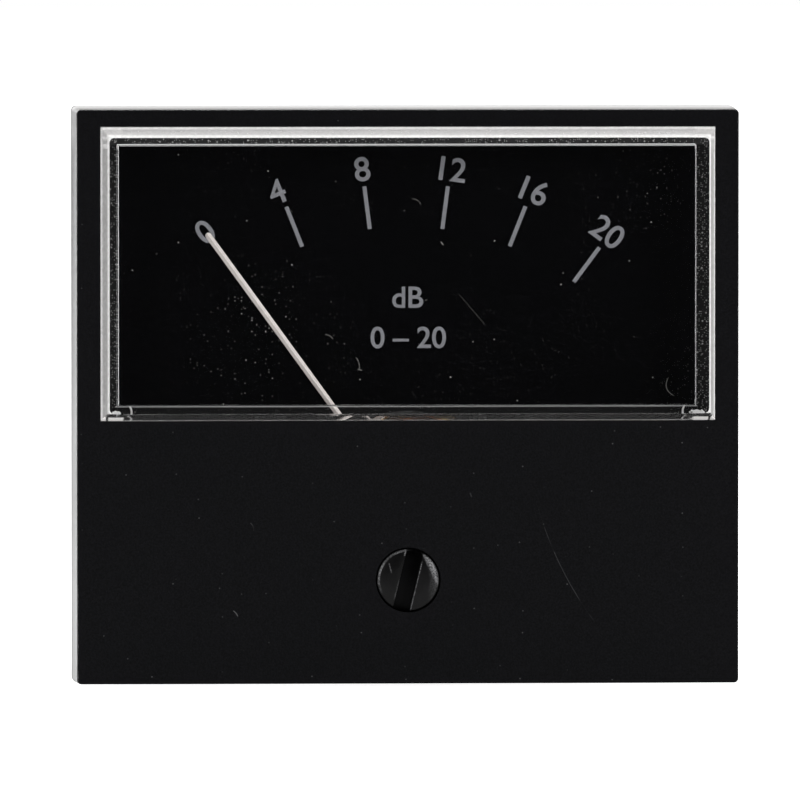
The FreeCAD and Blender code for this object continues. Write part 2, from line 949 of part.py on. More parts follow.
def rear_bridge():
    y_from = level(rear, bridge_from)
    y_to = level(rear, bridge_to)
    end_radius = bridge_height / 2
    bar = plate(
        rectangle(2 * (pillar_distance + pillar_radius), bridge_height, end_radius * 0.7, 0, axis_z),
        y_from,
        y_to,
    )
    end_hole = cylinder(bridge_screw_radius + screw_hole_gap, y_from, y_to, pillar_distance, axis_z)
    return bar.cut(jewel_screw_hole(rear)).cut(pair(end_hole))


def jewel_screw_hole(side):
    radius = jewel_screw_radius + thread_gap
    return cylinder(radius, level(side, bridge_from), level(side, bridge_to), 0, axis_z)


def front_bridge_screws():
    return pair(
        slotted_screw(
            foot_screw_distance,
            axis_z,
            frame_front - bridge_gauge,
            front,
            bridge_screw_radius,
            foot_screw_length,
            bridge_screw_head_radius,
            bridge_screw_head_height,
        )
    )


def rear_bridge_screws():
    return pair(
        slotted_screw(
            pillar_distance,
            axis_z,
            level(rear, bridge_to),
            rear,
            bridge_screw_radius,
            pillar_screw_length,
            bridge_screw_head_radius,
            bridge_screw_head_height,
        )
    )


# ---- Bearings, the same at each end of the axis ----

def jewel_screw(side):
    inner = level(side, jewel_from)
    outer = level(side, nut_from[side] + jewel_nut_gauge + jewel_screw_past_nut)
    seat = level(side, jewel_to + seat_gap)
    body = cylinder(jewel_screw_radius, inner, outer, 0, axis_z)
    pocket = cylinder(jewel_radius + seat_gap, inner, seat, 0, axis_z)
    slot = plate(
        rectangle(3 * jewel_screw_radius, driver_slot, 0, 0, axis_z),
        outer - side * driver_slot,
        outer + side * driver_slot,
    )
    return body.cut(pocket).cut(slot)


def jewel(side):
    cup_end = tip_to + jewel_end_play
    return turned(
        [
            (jewel_cup_radius, level(side, jewel_from)),
            (jewel_radius, level(side, jewel_from)),
            (jewel_radius, level(side, jewel_to)),
            (0, level(side, jewel_to)),
            (0, level(side, cup_end)),
        ],
        0,
        axis_z,
    )


def jewel_nut(side):
    y_from = level(side, nut_from[side])
    y_to = level(side, nut_from[side] + jewel_nut_gauge)
    nut = hex_prism(jewel_nut_flats, y_from, y_to, 0, axis_z)
    return nut.cut(cylinder(jewel_screw_radius + thread_gap, y_from, y_to, 0, axis_z))


def pivot(side):
    profile = [
        (0, 0),
        (pivot_foot_radius, 0),
        (pivot_foot_radius, pivot_foot_gauge),
        (pivot_stem_radius, pivot_foot_gauge),
        (pivot_stem_radius, stem_to),
        (needle_radius, stem_to),
        (needle_radius, tip_to - needle_taper),
        (pivot_tip_radius, tip_to),
        (0, tip_to),
    ]
    return turned([(radius, level(side, outwards)) for radius, outwards in profile], 0, axis_z)


def hairspring(side):
    # A spiral of half circles whose centres step from side to side by half its pitch.
    y_from = level(side, spring_from)
    step = spring_pitch / 2
    edges = {1: [], -1: []}
    for half in range(spring_half_turns):
        centre = Vector(step * (half % 2), y_from, 0)
        way = 1 if half % 2 == 0 else -1
        for wall in edges:
            radius = collet_radius + step * half + wall * spring_gauge / 2
            start = centre + Vector(way * radius, 0, 0)
            middle = centre + Vector(0, 0, way * radius)
            end = centre - Vector(way * radius, 0, 0)
            edges[wall].append(Part.Arc(start, middle, end).toShape())
    outer = edges[1]
    inner = edges[-1]
    last = (outer[-1].Vertexes[1].Point, inner[-1].Vertexes[1].Point)
    first = (inner[0].Vertexes[0].Point, outer[0].Vertexes[0].Point)
    caps = [Part.LineSegment(*last).toShape(), Part.LineSegment(*first).toShape()]
    wire = Part.Wire(Part.__sortEdges__(outer + inner + caps))
    strip = Part.Face(wire).extrude(Vector(0, side * spring_width, 0))
    collet = ring(
        collet_radius + spring_gauge / 4,
        pivot_stem_radius + seat_gap,
        y_from,
        y_from + side * spring_width,
    )
    spring = collet.fuse(strip)
    # The outer end comes round to the stud below the axis.
    spring.rotate(Vector(0, 0, 0), Vector(0, 1, 0), -90)
    spring.translate(Vector(0, 0, axis_z))
    return spring


def rear_spring_anchor():
    washer_from = level(rear, bridge_to)
    washer_to = level(rear, rear_nut_from)
    tongue_end = level(rear, spring_from)
    tongue = bent_strip(
        [
            (axis_z - jewel_screw_radius - anchor_gauge, washer_from + anchor_gauge / 2),
            (axis_z - spring_stud_distance, washer_from + anchor_gauge / 2),
            (axis_z - spring_stud_distance, tongue_end),
        ],
        anchor_gauge,
        anchor_gauge / 2,
        lambda a, b: Vector(-anchor_width / 2, b, a),
        Vector(anchor_width, 0, 0),
    )
    bore = cylinder(jewel_screw_radius + thread_gap, washer_from, washer_to, 0, axis_z)
    return cylinder(arm_washer_radius, washer_from, washer_to, 0, axis_z).fuse(tongue).cut(bore)


# ---- Moving system ----

def coil_loop(outer_reach, end_from, end_to, gauge, width, corner):
    # A closed rectangular loop round the core, lying level when the pointer is upright.
    outer = [
        (-outer_reach, end_from, corner),
        (outer_reach, end_from, corner),
        (outer_reach, end_to, corner),
        (-outer_reach, end_to, corner),
    ]
    inner_reach = outer_reach - gauge
    inner_corner = max(corner - gauge, 0.1)
    inner = [
        (-inner_reach, end_from + gauge, inner_corner),
        (inner_reach, end_from + gauge, inner_corner),
        (inner_reach, end_to - gauge, inner_corner),
        (-inner_reach, end_to - gauge, inner_corner),
    ]
    low = axis_z - width / 2
    faces = [Part.Face(rounded_wire(c, lambda a, b: Vector(a, b, low))) for c in (outer, inner)]
    solids = [face.extrude(Vector(0, 0, width)) for face in faces]
    return solids[0].cut(solids[1])


def coil_former():
    end_from = coil_end[front] + winding_gauge
    end_to = coil_end[rear] - winding_gauge
    reach = coil_reach - winding_gauge
    return at_rest(coil_loop(reach, end_from, end_to, former_gauge, former_width, 2 * former_gauge))


def coil_winding():
    loop = coil_loop(
        coil_reach, coil_end[front], coil_end[rear], winding_gauge, winding_width, winding_corner
    )
    return at_rest(loop.cut(coil_space()))


def coil_space():
    # What the former fills, so that the winding lies on it also round its corners.
    end_from = coil_end[front] + winding_gauge
    end_to = coil_end[rear] - winding_gauge
    reach = coil_reach - winding_gauge
    corner = 2 * former_gauge
    low = axis_z - former_width / 2
    corners = [
        (-reach, end_from, corner),
        (reach, end_from, corner),
        (reach, end_to, corner),
        (-reach, end_to, corner),
    ]
    face = Part.Face(rounded_wire(corners, lambda a, b: Vector(a, b, low)))
    return face.extrude(Vector(0, 0, former_width))


def pointer_boss():
    y_from = level(front, boss_from)
    y_to = level(front, boss_to)
    cross = cylinder(boss_radius, y_from, y_to, 0, axis_z)
    tail = plate(rectangle(arm_width, arm_reach, 0, 0, axis_z - arm_reach / 2), y_from, y_to)
    wings = plate(rectangle(2 * arm_reach, arm_width, 0, 0, axis_z), y_from, y_to)
    seat = plate(
        rectangle(1.6 * arm_width, crank_inner_radius - 1, 0.2, 0, axis_z + (crank_inner_radius - 1) / 2),
        y_from,
        y_to,
    )
    cross = cross.fuse(tail).fuse(wings).fuse(seat)
    return at_rest(cross.cut(cylinder(pivot_stem_radius + seat_gap, y_from, y_to, 0, axis_z)))


def pointer():
    root_y = level(front, boss_to + pointer_gauge / 2)
    blade_y = blade_rear - pointer_gauge / 2
    half = pointer_width / 2
    join_radius = crank_outer_radius + 1.0
    crank = bent_strip(
        [
            (pointer_root_radius, root_y),
            (crank_inner_radius, root_y),
            (crank_outer_radius, blade_y),
            (join_radius, blade_y),
        ],
        pointer_gauge,
        crank_bend,
        lambda a, b: Vector(-half, b, axis_z + a),
        Vector(pointer_width, 0, 0),
    )
    # The blade has a low ridge along it and a round end.
    section = [
        Vector(-half, blade_rear, axis_z + join_radius),
        Vector(-half, blade_rear - pointer_edge, axis_z + join_radius),
        Vector(0, blade_rear - pointer_ridge, axis_z + join_radius),
        Vector(half, blade_rear - pointer_edge, axis_z + join_radius),
        Vector(half, blade_rear, axis_z + join_radius),
    ]
    ridge = Part.Face(Part.makePolygon(section + [section[0]]))
    ridge = ridge.extrude(Vector(0, 0, pointer_reach - join_radius))
    outline = plate(
        [
            (-half, axis_z + join_radius, 0),
            (half, axis_z + join_radius, 0),
            (half, axis_z + pointer_reach, half * 0.98),
            (-half, axis_z + pointer_reach, half * 0.98),
        ],
        blade_rear,
        blade_rear - 2 * pointer_ridge,
    )
    return at_rest(crank.fuse(ridge.common(outline)))


def weight(radius, length, distance, angle):
    # A sliding weight on the tail arm, then turned to the arm that it belongs to.
    y_mid = level(front, (boss_from + boss_to) / 2)
    start = Vector(0, y_mid, axis_z - distance - length / 2)
    drum = Part.makeCylinder(radius, length, start, Vector(0, 0, 1))
    hole = plate(
        rectangle(arm_width + 2 * weight_slip, 2 * arm_reach, 0, 0, axis_z - arm_reach),
        y_mid - boss_gauge / 2 - weight_slip,
        y_mid + boss_gauge / 2 + weight_slip,
    )
    return about_axis(drum.cut(hole), angle)


def balance_weights():
    tail = weight(tail_weight_radius, tail_weight_length, tail_weight_distance, 0)
    sides = [
        weight(side_weight_radius, side_weight_length, side_weight_distance, angle)
        for angle in (-90, 90)
    ]
    return at_rest(Part.makeCompound([tail] + sides))


# ---- Zero adjuster ----

arm_from = level(front, bridge_to + zero_arm_gap)
arm_to = level(front, bridge_to + zero_arm_gap + zero_arm_gauge)


def zero_screw():
    head_front = cover_front - zero_head_proud
    head_rear = cover_front + zero_recess_depth - zero_head_gap
    shank_end = cover_inner + zero_boss_height + zero_clip_gap + zero_clip_gauge + zero_shank_past_clip
    body = turned(
        [
            (0, head_rear),
            (zero_head_radius, head_rear),
            (zero_head_radius, head_front + zero_head_dome),
            (zero_head_radius - zero_head_dome, head_front + zero_head_dome * 0.35),
            (zero_head_radius * 0.5, head_front),
            (0, head_front),
        ],
        0,
        zero_z,
    )
    body = body.fuse(cylinder(zero_shank_radius, head_rear, shank_end, 0, zero_z))
    slot = plate(
        rectangle(zero_slot_width, 3 * zero_head_radius, 0, 0, zero_z),
        head_front - zero_slot_depth,
        head_front + zero_slot_depth,
    )
    slot.rotate(Vector(0, 0, zero_z), Vector(0, 1, 0), zero_slot_tilt)
    pin_end = arm_from + zero_pin_past_arm
    pin = cylinder(zero_pin_radius, shank_end, pin_end, 0, zero_z + zero_pin_offset)
    return body.cut(slot).fuse(pin)


def zero_retainer():
    clip_from = cover_inner + zero_boss_height + zero_clip_gap
    return ring(
        zero_clip_radius,
        zero_shank_radius + seat_gap,
        clip_from,
        clip_from + zero_clip_gauge,
        0,
        zero_z,
    )


def zero_arm():
    fork_end = zero_z + zero_pin_offset - zero_fork_past_pin
    fork_start = zero_z + zero_pin_offset + zero_fork_past_pin
    hub = cylinder(zero_arm_hub_radius, arm_to, arm_from, 0, axis_z)
    blade = plate(
        rectangle(zero_arm_width, axis_z - fork_end, 0.3, 0, (axis_z + fork_end) / 2), arm_to, arm_from
    )
    slot = plate(
        rectangle(
            2 * (zero_pin_radius + zero_fork_play),
            2 * (fork_start - fork_end),
            zero_pin_radius * 0.8,
            0,
            fork_end,
        ),
        arm_to,
        arm_from,
    )
    stud_z = axis_z - spring_stud_distance
    stud = cylinder(spring_stud_radius, arm_to, level(front, spring_from), 0, stud_z)
    bore = cylinder(jewel_screw_radius + zero_running_gap, arm_to, arm_from, 0, axis_z)
    return hub.fuse(blade).fuse(stud).cut(slot).cut(bore)


def arm_washer():
    y_from = level(front, front_nut_from - arm_washer_gauge)
    y_to = level(front, front_nut_from)
    return ring(arm_washer_radius, jewel_screw_radius + thread_gap, y_from, y_to, 0, axis_z)


pieces = {
    "front_cover": front_cover(),
    "face_mask": face_mask(),
    "rear_case": rear_case(),
    "mounting_studs": mounting_studs(),
    "terminals": terminals(),
    "terminal_washers": terminal_washers(),
    "terminal_nuts": terminal_nuts(),
    "solder_tags": solder_tags(),
    "lead_wires": lead_wires(),
    "dial_plate": dial_plate(),
    "dial_screws": dial_screws(),
    "pointer_stops": pointer_stops(),
    "core_magnet": core_magnet(),
    "yoke_ring": yoke_ring(),
    "core_spacers": core_spacers(),
    "movement_frame": movement_frame(),
    "frame_screws": frame_screws(),
    "front_bridge": front_bridge(),
    "rear_bridge": rear_bridge(),
    "front_bridge_screws": front_bridge_screws(),
    "rear_bridge_screws": rear_bridge_screws(),
    "front_jewel_screw": jewel_screw(front),
    "rear_jewel_screw": jewel_screw(rear),
    "front_jewel": jewel(front),
    "rear_jewel": jewel(rear),
    "front_jewel_nut": jewel_nut(front),
    "rear_jewel_nut": jewel_nut(rear),
    "rear_spring_anchor": rear_spring_anchor(),
    "arm_washer": arm_washer(),
    "coil_former": coil_former(),
    "coil_winding": coil_winding(),
    "front_pivot": pivot(front),
    "rear_pivot": pivot(rear),
    "front_hairspring": hairspring(front),
    "rear_hairspring": hairspring(rear),
    "pointer_boss": pointer_boss(),
    "pointer": pointer(),
    "balance_weights": balance_weights(),
    "zero_screw": zero_screw(),
    "zero_retainer": zero_retainer(),
    "zero_arm": zero_arm(),
}

os.makedirs("parts", exist_ok=True)
for name, shape in pieces.items():
    shape.exportStep("parts/" + name + ".step")
    print(name, len(shape.Solids), round(shape.Volume, 3), shape.isValid())
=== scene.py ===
import json
import math

import bmesh
import bpy
from mathutils import Matrix, Vector


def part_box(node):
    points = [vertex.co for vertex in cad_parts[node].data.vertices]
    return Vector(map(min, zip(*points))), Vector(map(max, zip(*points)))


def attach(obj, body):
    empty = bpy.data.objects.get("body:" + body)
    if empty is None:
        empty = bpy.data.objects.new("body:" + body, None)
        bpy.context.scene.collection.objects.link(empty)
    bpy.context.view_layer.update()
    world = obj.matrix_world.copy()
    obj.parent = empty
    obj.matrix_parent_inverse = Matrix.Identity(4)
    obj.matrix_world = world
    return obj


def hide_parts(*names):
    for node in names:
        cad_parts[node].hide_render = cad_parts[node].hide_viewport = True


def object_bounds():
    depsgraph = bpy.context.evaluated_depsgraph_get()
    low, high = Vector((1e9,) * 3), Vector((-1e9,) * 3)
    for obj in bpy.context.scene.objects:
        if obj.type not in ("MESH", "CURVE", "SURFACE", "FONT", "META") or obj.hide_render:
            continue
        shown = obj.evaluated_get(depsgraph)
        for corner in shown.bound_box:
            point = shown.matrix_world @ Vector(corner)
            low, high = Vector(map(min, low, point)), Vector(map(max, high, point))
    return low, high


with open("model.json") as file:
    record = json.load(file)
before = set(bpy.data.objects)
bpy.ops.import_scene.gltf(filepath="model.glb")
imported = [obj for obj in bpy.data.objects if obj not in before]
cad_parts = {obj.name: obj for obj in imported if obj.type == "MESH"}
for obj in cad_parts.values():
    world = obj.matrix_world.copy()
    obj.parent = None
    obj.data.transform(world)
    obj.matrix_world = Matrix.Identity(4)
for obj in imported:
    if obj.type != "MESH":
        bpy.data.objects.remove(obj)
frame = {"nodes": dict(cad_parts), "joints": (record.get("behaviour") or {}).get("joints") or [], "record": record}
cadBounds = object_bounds()
nodes = frame["nodes"]
scene = bpy.context.scene
scene.view_settings.view_transform = "Standard"
mm = 0.001
print("frame loaded with", len(nodes), "nodes")

view = {  # turn and rise are in degrees, the aim is in millimetres
    "distance": 1300 * mm,
    "turn": -3.0,
    "rise": 2.15,
    "lens": 646.3,
    "aim": (-0.74, -10.0, -0.29),
    "clip": (0.05, 20),
}
surround = {
    "front": 0.014,
    "sides": 1.0,
    "rear": 0.3,
    "frontUntil": -0.7,
    "sidesFrom": -0.1,
    "sidesUntil": 0.3,
    "rearFrom": 0.85,
}
lamps = {
    "key": {"place": (0.72, -0.6, 0.5), "size": 0.36, "power": 6.5},
    "fill": {"place": (-0.74, -0.58, 0.34), "size": 0.4, "power": 2.6},
    "top": {"place": (0.05, -0.25, 0.95), "size": 0.5, "power": 1.6},
    "rear": {"place": (-0.5, 0.85, 0.5), "size": 0.6, "power": 3.2},
}
floorLook = {
    "side": 2.0,
    "front": -0.2,
    "back": 6.0,
    "gap": 0.05 * mm,
    "paint": 0.8,
    "roughness": 0.9,
    "glow": {"Is Camera Ray": 0.92, "Is Glossy Ray": 0.5, "Is Transmission Ray": 0.04},
}


def aimAt(thing, target):
    thing.rotation_euler = (Vector(target) - thing.location).to_track_quat("-Z", "Y").to_euler()


def placeCamera():
    target = Vector(view["aim"]) * mm
    turn = math.radians(view["turn"])
    rise = math.radians(view["rise"])
    away = Vector((math.sin(turn) * math.cos(rise), -math.cos(turn) * math.cos(rise), math.sin(rise)))
    data = bpy.data.cameras.new("camera")
    data.lens = view["lens"]
    data.clip_start, data.clip_end = view["clip"]
    camera = bpy.data.objects.new("camera", data)
    camera.location = target + away * view["distance"]
    aimAt(camera, target)
    scene.collection.objects.link(camera)
    scene.camera = camera


def placeLamps():
    for name, lamp in lamps.items():
        data = bpy.data.lights.new(name, "AREA")
        data.size = lamp["size"]
        data.energy = lamp["power"]
        light = bpy.data.objects.new(name, data)
        light.location = lamp["place"]
        aimAt(light, (0, 0, 0))
        scene.collection.objects.link(light)


def makeSurroundings():
    # white to the eye and through clear plastic from behind, bright at the sides, dim in front
    world = bpy.data.worlds.new("studio")
    world.use_nodes = True
    scene.world = world
    tree = world.node_tree
    background = tree.nodes["Background"]
    background.inputs["Color"].default_value = (1, 1, 1, 1)
    place = addNode(tree, "ShaderNodeTexCoord").outputs["Generated"]
    depth = addNode(tree, "ShaderNodeSeparateXYZ", {0: place}).outputs["Y"]
    sides = surround["sides"]
    front = ramp(tree, depth, surround["frontUntil"], surround["sidesFrom"], surround["front"], sides)
    rear = ramp(tree, depth, surround["sidesUntil"], surround["rearFrom"], sides, surround["rear"])
    light = combine(tree, "MINIMUM", front, rear)
    rays = addNode(tree, "ShaderNodeLightPath")
    behind = times(tree, rays.outputs["Is Transmission Ray"], combine(tree, "GREATER_THAN", depth, 0))
    white = larger(tree, rays.outputs["Is Camera Ray"], behind)
    tree.links.new(larger(tree, light, white), background.inputs["Strength"])


def makeFloor():
    side, front, back = floorLook["side"], floorLook["front"], floorLook["back"]
    low = cadBounds[0].z - floorLook["gap"]
    mesh = bpy.data.meshes.new("floor")
    corners = [(-side, front, low), (side, front, low), (side, back, low), (-side, back, low)]
    mesh.from_pydata(corners, [], [(0, 1, 2, 3)])
    material = newMaterial("paleFloor", (floorLook["paint"],) * 3, floorLook["roughness"], specular=0.0)
    tree = material.node_tree
    rays = addNode(tree, "ShaderNodeLightPath")
    strength = 0.0
    for kind, glow in floorLook["glow"].items():
        strength = larger(tree, times(tree, rays.outputs[kind], glow), strength)
    shader = shaderOf(material)
    shader.inputs["Emission Color"].default_value = (1, 1, 1, 1)
    tree.links.new(strength, shader.inputs["Emission Strength"])
    mesh.materials.append(material)
    floor = bpy.data.objects.new("floor", mesh)
    scene.collection.objects.link(floor)


def shaderOf(material):
    return material.node_tree.nodes["Principled BSDF"]


def newMaterial(name, colour, roughness, metallic=0.0, specular=0.5):
    material = bpy.data.materials.new(name)
    material.use_nodes = True
    shader = shaderOf(material)
    shader.inputs["Base Color"].default_value = tuple(colour) + (1,)
    shader.inputs["Roughness"].default_value = roughness
    shader.inputs["Metallic"].default_value = metallic
    shader.inputs["Specular IOR Level"].default_value = specular
    return material


def addNode(tree, kind, inputs=None, **settings):
    # an input takes a link from another socket, a colour's three shares or a plain value
    node = tree.nodes.new(kind)
    for key, value in settings.items():
        setattr(node, key, value)
    for key, value in (inputs or {}).items():
        socket = node.inputs[key]
        if isinstance(value, bpy.types.NodeSocket):
            tree.links.new(value, socket)
        elif socket.type == "RGBA":
            socket.default_value = tuple(value) + (1,)
        else:
            socket.default_value = value
    return node


def combine(tree, operation, first, second=0.0):
    return addNode(tree, "ShaderNodeMath", {0: first, 1: second}, operation=operation).outputs[0]


def times(tree, first, second):
    return combine(tree, "MULTIPLY", first, second)


def plus(tree, first, second):
    return combine(tree, "ADD", first, second)


def minus(tree, first, second):
    return combine(tree, "SUBTRACT", first, second)


def larger(tree, first, second):
    return combine(tree, "MAXIMUM", first, second)


def distance(tree, x, z):
    return combine(tree, "SQRT", plus(tree, times(tree, x, x), times(tree, z, z)))


def vector(tree, x=0.0, y=0.0, z=0.0):
    return addNode(tree, "ShaderNodeCombineXYZ", {"X": x, "Y": y, "Z": z}).outputs[0]


def objectPlace(tree):
    return addNode(tree, "ShaderNodeTexCoord").outputs["Object"]


def axesOf(tree):
    # the three object coordinates, as sockets named X, Y and Z
    return addNode(tree, "ShaderNodeSeparateXYZ", {0: objectPlace(tree)}).outputs


def noise(tree, size, detail=2.0, roughness=0.5):
    # size is the width of one spot in metres
    inputs = {"Vector": objectPlace(tree), "Scale": 1 / size, "Detail": detail, "Roughness": roughness}
    return addNode(tree, "ShaderNodeTexNoise", inputs).outputs["Fac"]


def ramp(tree, source, low, high, fromValue=0.0, toValue=1.0):
    inputs = {"Value": source, "From Min": low, "From Max": high, "To Min": fromValue, "To Max": toValue}
    return addNode(tree, "ShaderNodeMapRange", inputs).outputs[0]


def mixColour(tree, factor, first, second):
    return addNode(tree, "ShaderNodeMix", {0: factor, 6: first, 7: second}, data_type="RGBA").outputs[2]


def mixShader(tree, factor, first, second):
    return addNode(tree, "ShaderNodeMixShader", {0: factor, 1: first, 2: second}).outputs[0]


def colourFrom(material, colour):
    material.node_tree.links.new(colour, shaderOf(material).inputs["Base Color"])


def bump(tree, height, depth):
    made = addNode(tree, "ShaderNodeBump", {"Distance": depth, "Height": height})
    tree.links.new(made.outputs[0], tree.nodes["Principled BSDF"].inputs["Normal"])


def specks(tree, spacing, radius, share, stretch=1.0, turn=0.0):
    # flecks on a front face: one in each cell of a flat pattern, of which only a share is kept
    axes = axesOf(tree)
    placing = {
        "Vector": vector(tree, axes["X"], axes["Z"]),
        "Rotation": (0, 0, math.radians(turn)),
        "Scale": (1, 1 / stretch, 1),
    }
    placed = addNode(tree, "ShaderNodeMapping", placing).outputs[0]
    inputs = {"Vector": placed, "Scale": 1 / spacing, "Randomness": 1.0}
    cells = addNode(tree, "ShaderNodeTexVoronoi", inputs, voronoi_dimensions="2D").outputs
    near = ramp(tree, cells["Distance"], radius / spacing, 0.5 * radius / spacing)
    pick = addNode(tree, "ShaderNodeSeparateColor", {0: cells["Color"]}).outputs
    kept = combine(tree, "GREATER_THAN", pick[0], 1 - share)
    return times(tree, times(tree, near, pick[1]), kept)


def between(tree, value, low, high, soft):
    # 1 between two values and 0 outside them, with a soft edge at each
    rise = ramp(tree, value, low - soft, low)
    return times(tree, rise, ramp(tree, value, high + soft, high))


def stroke(tree, start, end, width, bow=0.0):
    # a thin line on a front face between two (x, z) places in millimetres, bowed at its middle
    axes = axesOf(tree)
    run = Vector(end) - Vector(start)
    length = run.length
    x, z = (minus(tree, times(tree, axes[axis], 1 / mm), value) for axis, value in zip("XZ", start))
    alongShares = (run.x / run.length_squared, run.y / run.length_squared)
    offShares = (-run.y / length, run.x / length)
    along, off = (
        plus(tree, times(tree, x, shareX), times(tree, z, shareZ))
        for shareX, shareZ in (alongShares, offShares)
    )
    arch = times(tree, times(tree, along, minus(tree, 1.0, along)), 4 * bow)
    line = between(tree, minus(tree, off, arch), -width / 2, width / 2, width / 2)
    return times(tree, line, between(tree, along, 0.05, 0.95, 0.1))


placeCamera()
placeLamps()
makeSurroundings()
makeFloor()
print("camera, lamps and floor placed")

coverLow, coverHigh = (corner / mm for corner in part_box("front_cover"))
adjusterLow, adjusterHigh = (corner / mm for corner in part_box("zero_screw"))

cover = {
    "width": 60.0,
    "height": 52.0,
    "corner": 0.4,
    "wall": 1.5,
    "plate": 1.6,
    "paneWidth": 55.7,
    "paneHeight": 26.6,
    "paneMiddle": 11.14,
    "paneFoot": 0.08,
    "paneCorner": 0.45,
    "paneSides": (1.01, 0.84, 1.26, 0.92),
    "paneRise": 1.6,
    "paneSlope": 0.7,
    "paneWall": 1.65,
    "wallSides": (0.95, 1.06, 0.98, 0.84),
    "paneGlass": 1.5,
    "wallDraft": 1.0,
    "skirt": 1.1,
    "edge": 0.1,
    "footEdge": 0.05,
    "innerEdge": 0.12,
    "airGap": 0.02,
    "recess": 2.95,
    "recessDepth": 1.1,
    "bore": 1.66,
    "boss": 4.5,
    "bossHeight": 1.0,
}
halfWide = cover["paneWidth"] / 2
halfHigh = cover["paneHeight"] / 2


def clearPlastic(name, roughness, opaqueShare=None, colour=None):
    # opaqueShare makes the share of an opaque colour on the surface, as a socket of the material's tree; the
    # colour is plain values or is made in the same way. On the window's slopes, inner walls and skirt end the
    # opaque colour is painted light
    material = newMaterial(name, (0.97, 0.98, 0.99), roughness)
    tree = material.node_tree
    shader = shaderOf(material)
    shader.inputs["Transmission Weight"].default_value = 1.0
    shader.inputs["IOR"].default_value = 1.49
    body = shader.outputs[0]
    if opaqueShare is not None:
        tone = colour(tree) if callable(colour) else colour
        opaque = addNode(tree, "ShaderNodeBsdfDiffuse", {"Color": tone})
        body = mixShader(tree, opaqueShare(tree), body, opaque.outputs[0])
    rays = addNode(tree, "ShaderNodeLightPath")
    lightThrough = larger(tree, rays.outputs["Is Shadow Ray"], rays.outputs["Is Diffuse Ray"])
    clear = addNode(tree, "ShaderNodeBsdfTransparent")
    whole = mixShader(tree, lightThrough, body, clear.outputs[0])
    tree.links.new(whole, tree.nodes["Material Output"].inputs["Surface"])
    return material


def windowPlace(tree):
    # distance from the window's middle, across and up, in millimetres
    axes = axesOf(tree)
    across = combine(tree, "ABSOLUTE", axes["X"])
    up = minus(tree, axes["Z"], cover["paneMiddle"] * mm)
    return times(tree, across, 1 / mm), times(tree, up, 1 / mm)


def slopeDepth(tree):
    # 0 at the window's front edge, 1 at the foot of its slopes
    front = coverLow.y * mm
    return ramp(tree, axesOf(tree)["Y"], front, front + cover["paneRise"] * mm)


def nearTop(tree, up, insets, values=(0.0, 1.0)):
    # changes between two distances below the window's top edge
    return ramp(tree, up, halfHigh - insets[0], halfHigh - insets[1], *values)


# four numbers are a ramp: between the first two, the share of opaque colour goes from the third to the fourth; two
# are millimetres from the window's edge, where a change starts and ends
# painted highlights on the window's slopes: white standing in for light refracted through the clear plastic; the
# upper slope's darker tones are painted shade
slopeGlowLook = {
    "foot": (0.66, 0.9, 0.42, 1.0),
    "front": (0.3, 0.1, 0.0, 0.85),
    "side": (2.3, 1.8),
    "top": (1.6, 0.9),
    "corner": 0.95,
    "streak": 0.4 * mm,
    "streaks": (0.3, 0.7, 0.85, 1.1),
    "upper": (1.0, 0.8),
    "middle": (0.3, 0.7, 0.12),
    "white": (0.98, 0.97, 0.96),
    "topShaded": (0.86, 0.85, 0.84),
    "topShadedMost": (0.56, 0.55, 0.545),
}
# painted highlights on the lower slope: a thin white line along its foot and white strips towards both ends
lowerHighlightLook = {
    "line": (0.8, 0.9, 0.03, 0.25),
    "strip": (0.4, 0.5),
    "stripFrom": 25.8,
    "stripSoft": 0.1,
    "nick": 27.28,
    "nickHalf": 0.08,
    "nickSoft": 0.05,
    "colour": (0.98, 0.96, 0.94),
}
# painted highlights on the window's inner walls, white standing in for light refracted through the clear plastic
skirtGlowLook = {
    "last": (0.55, 0.4),
    "top": (2.1, 1.8),
    "topShare": (0.0, 0.7),
    "low": (1.9, 1.5),
    "lowShare": (0.0, 0.95),
    "colour": (0.95, 0.94, 0.93),
}
satinLook = {
    "edge": 0.3,
    "topShare": 0.8,
    "low": (4.0, -30.0, 0.05, 0.5),
    "side": (0.9, 0.9, 0.9),
    "topFrontShade": (0.3, 0.295, 0.29),
    "topRear": (0.95, 0.945, 0.94),
}
# painted highlights near the skirt's lower corners: a white oval, a bowed line and a lip
cornerGlint = {
    "across": 26.36,
    "up": 0.66,
    "halfWidths": (0.38, 0.7),
    "halfHeight": 0.24,
    "ragged": (0.3, 0.7, -0.6, 0.6),
    "arcAcross": 25.0,
    "arcUp": 0.76,
    "arcBow": 0.6,
    "arcWidth": 0.07,
    "arcShare": 0.7,
    "lip": (1.15, 1.22),
    "lipShare": (0.01, 0.3),
}
# painted shade and glints on the skirt's end: a dark ground with bright specks, lighter and with more specks
# towards the top
footShadeAndGlintLook = {
    "fine": (0.17 * mm, 0.055 * mm, 0.4),
    "coarse": (0.4 * mm, 0.1 * mm, 0.3),
    "top": (1.7, 1.6),
    "share": (0.45, 1.0),
    "low": (0.004, 0.004, 0.004),
    "high": (0.03, 0.03, 0.03),
    "colour": (0.6, 0.59, 0.58),
}


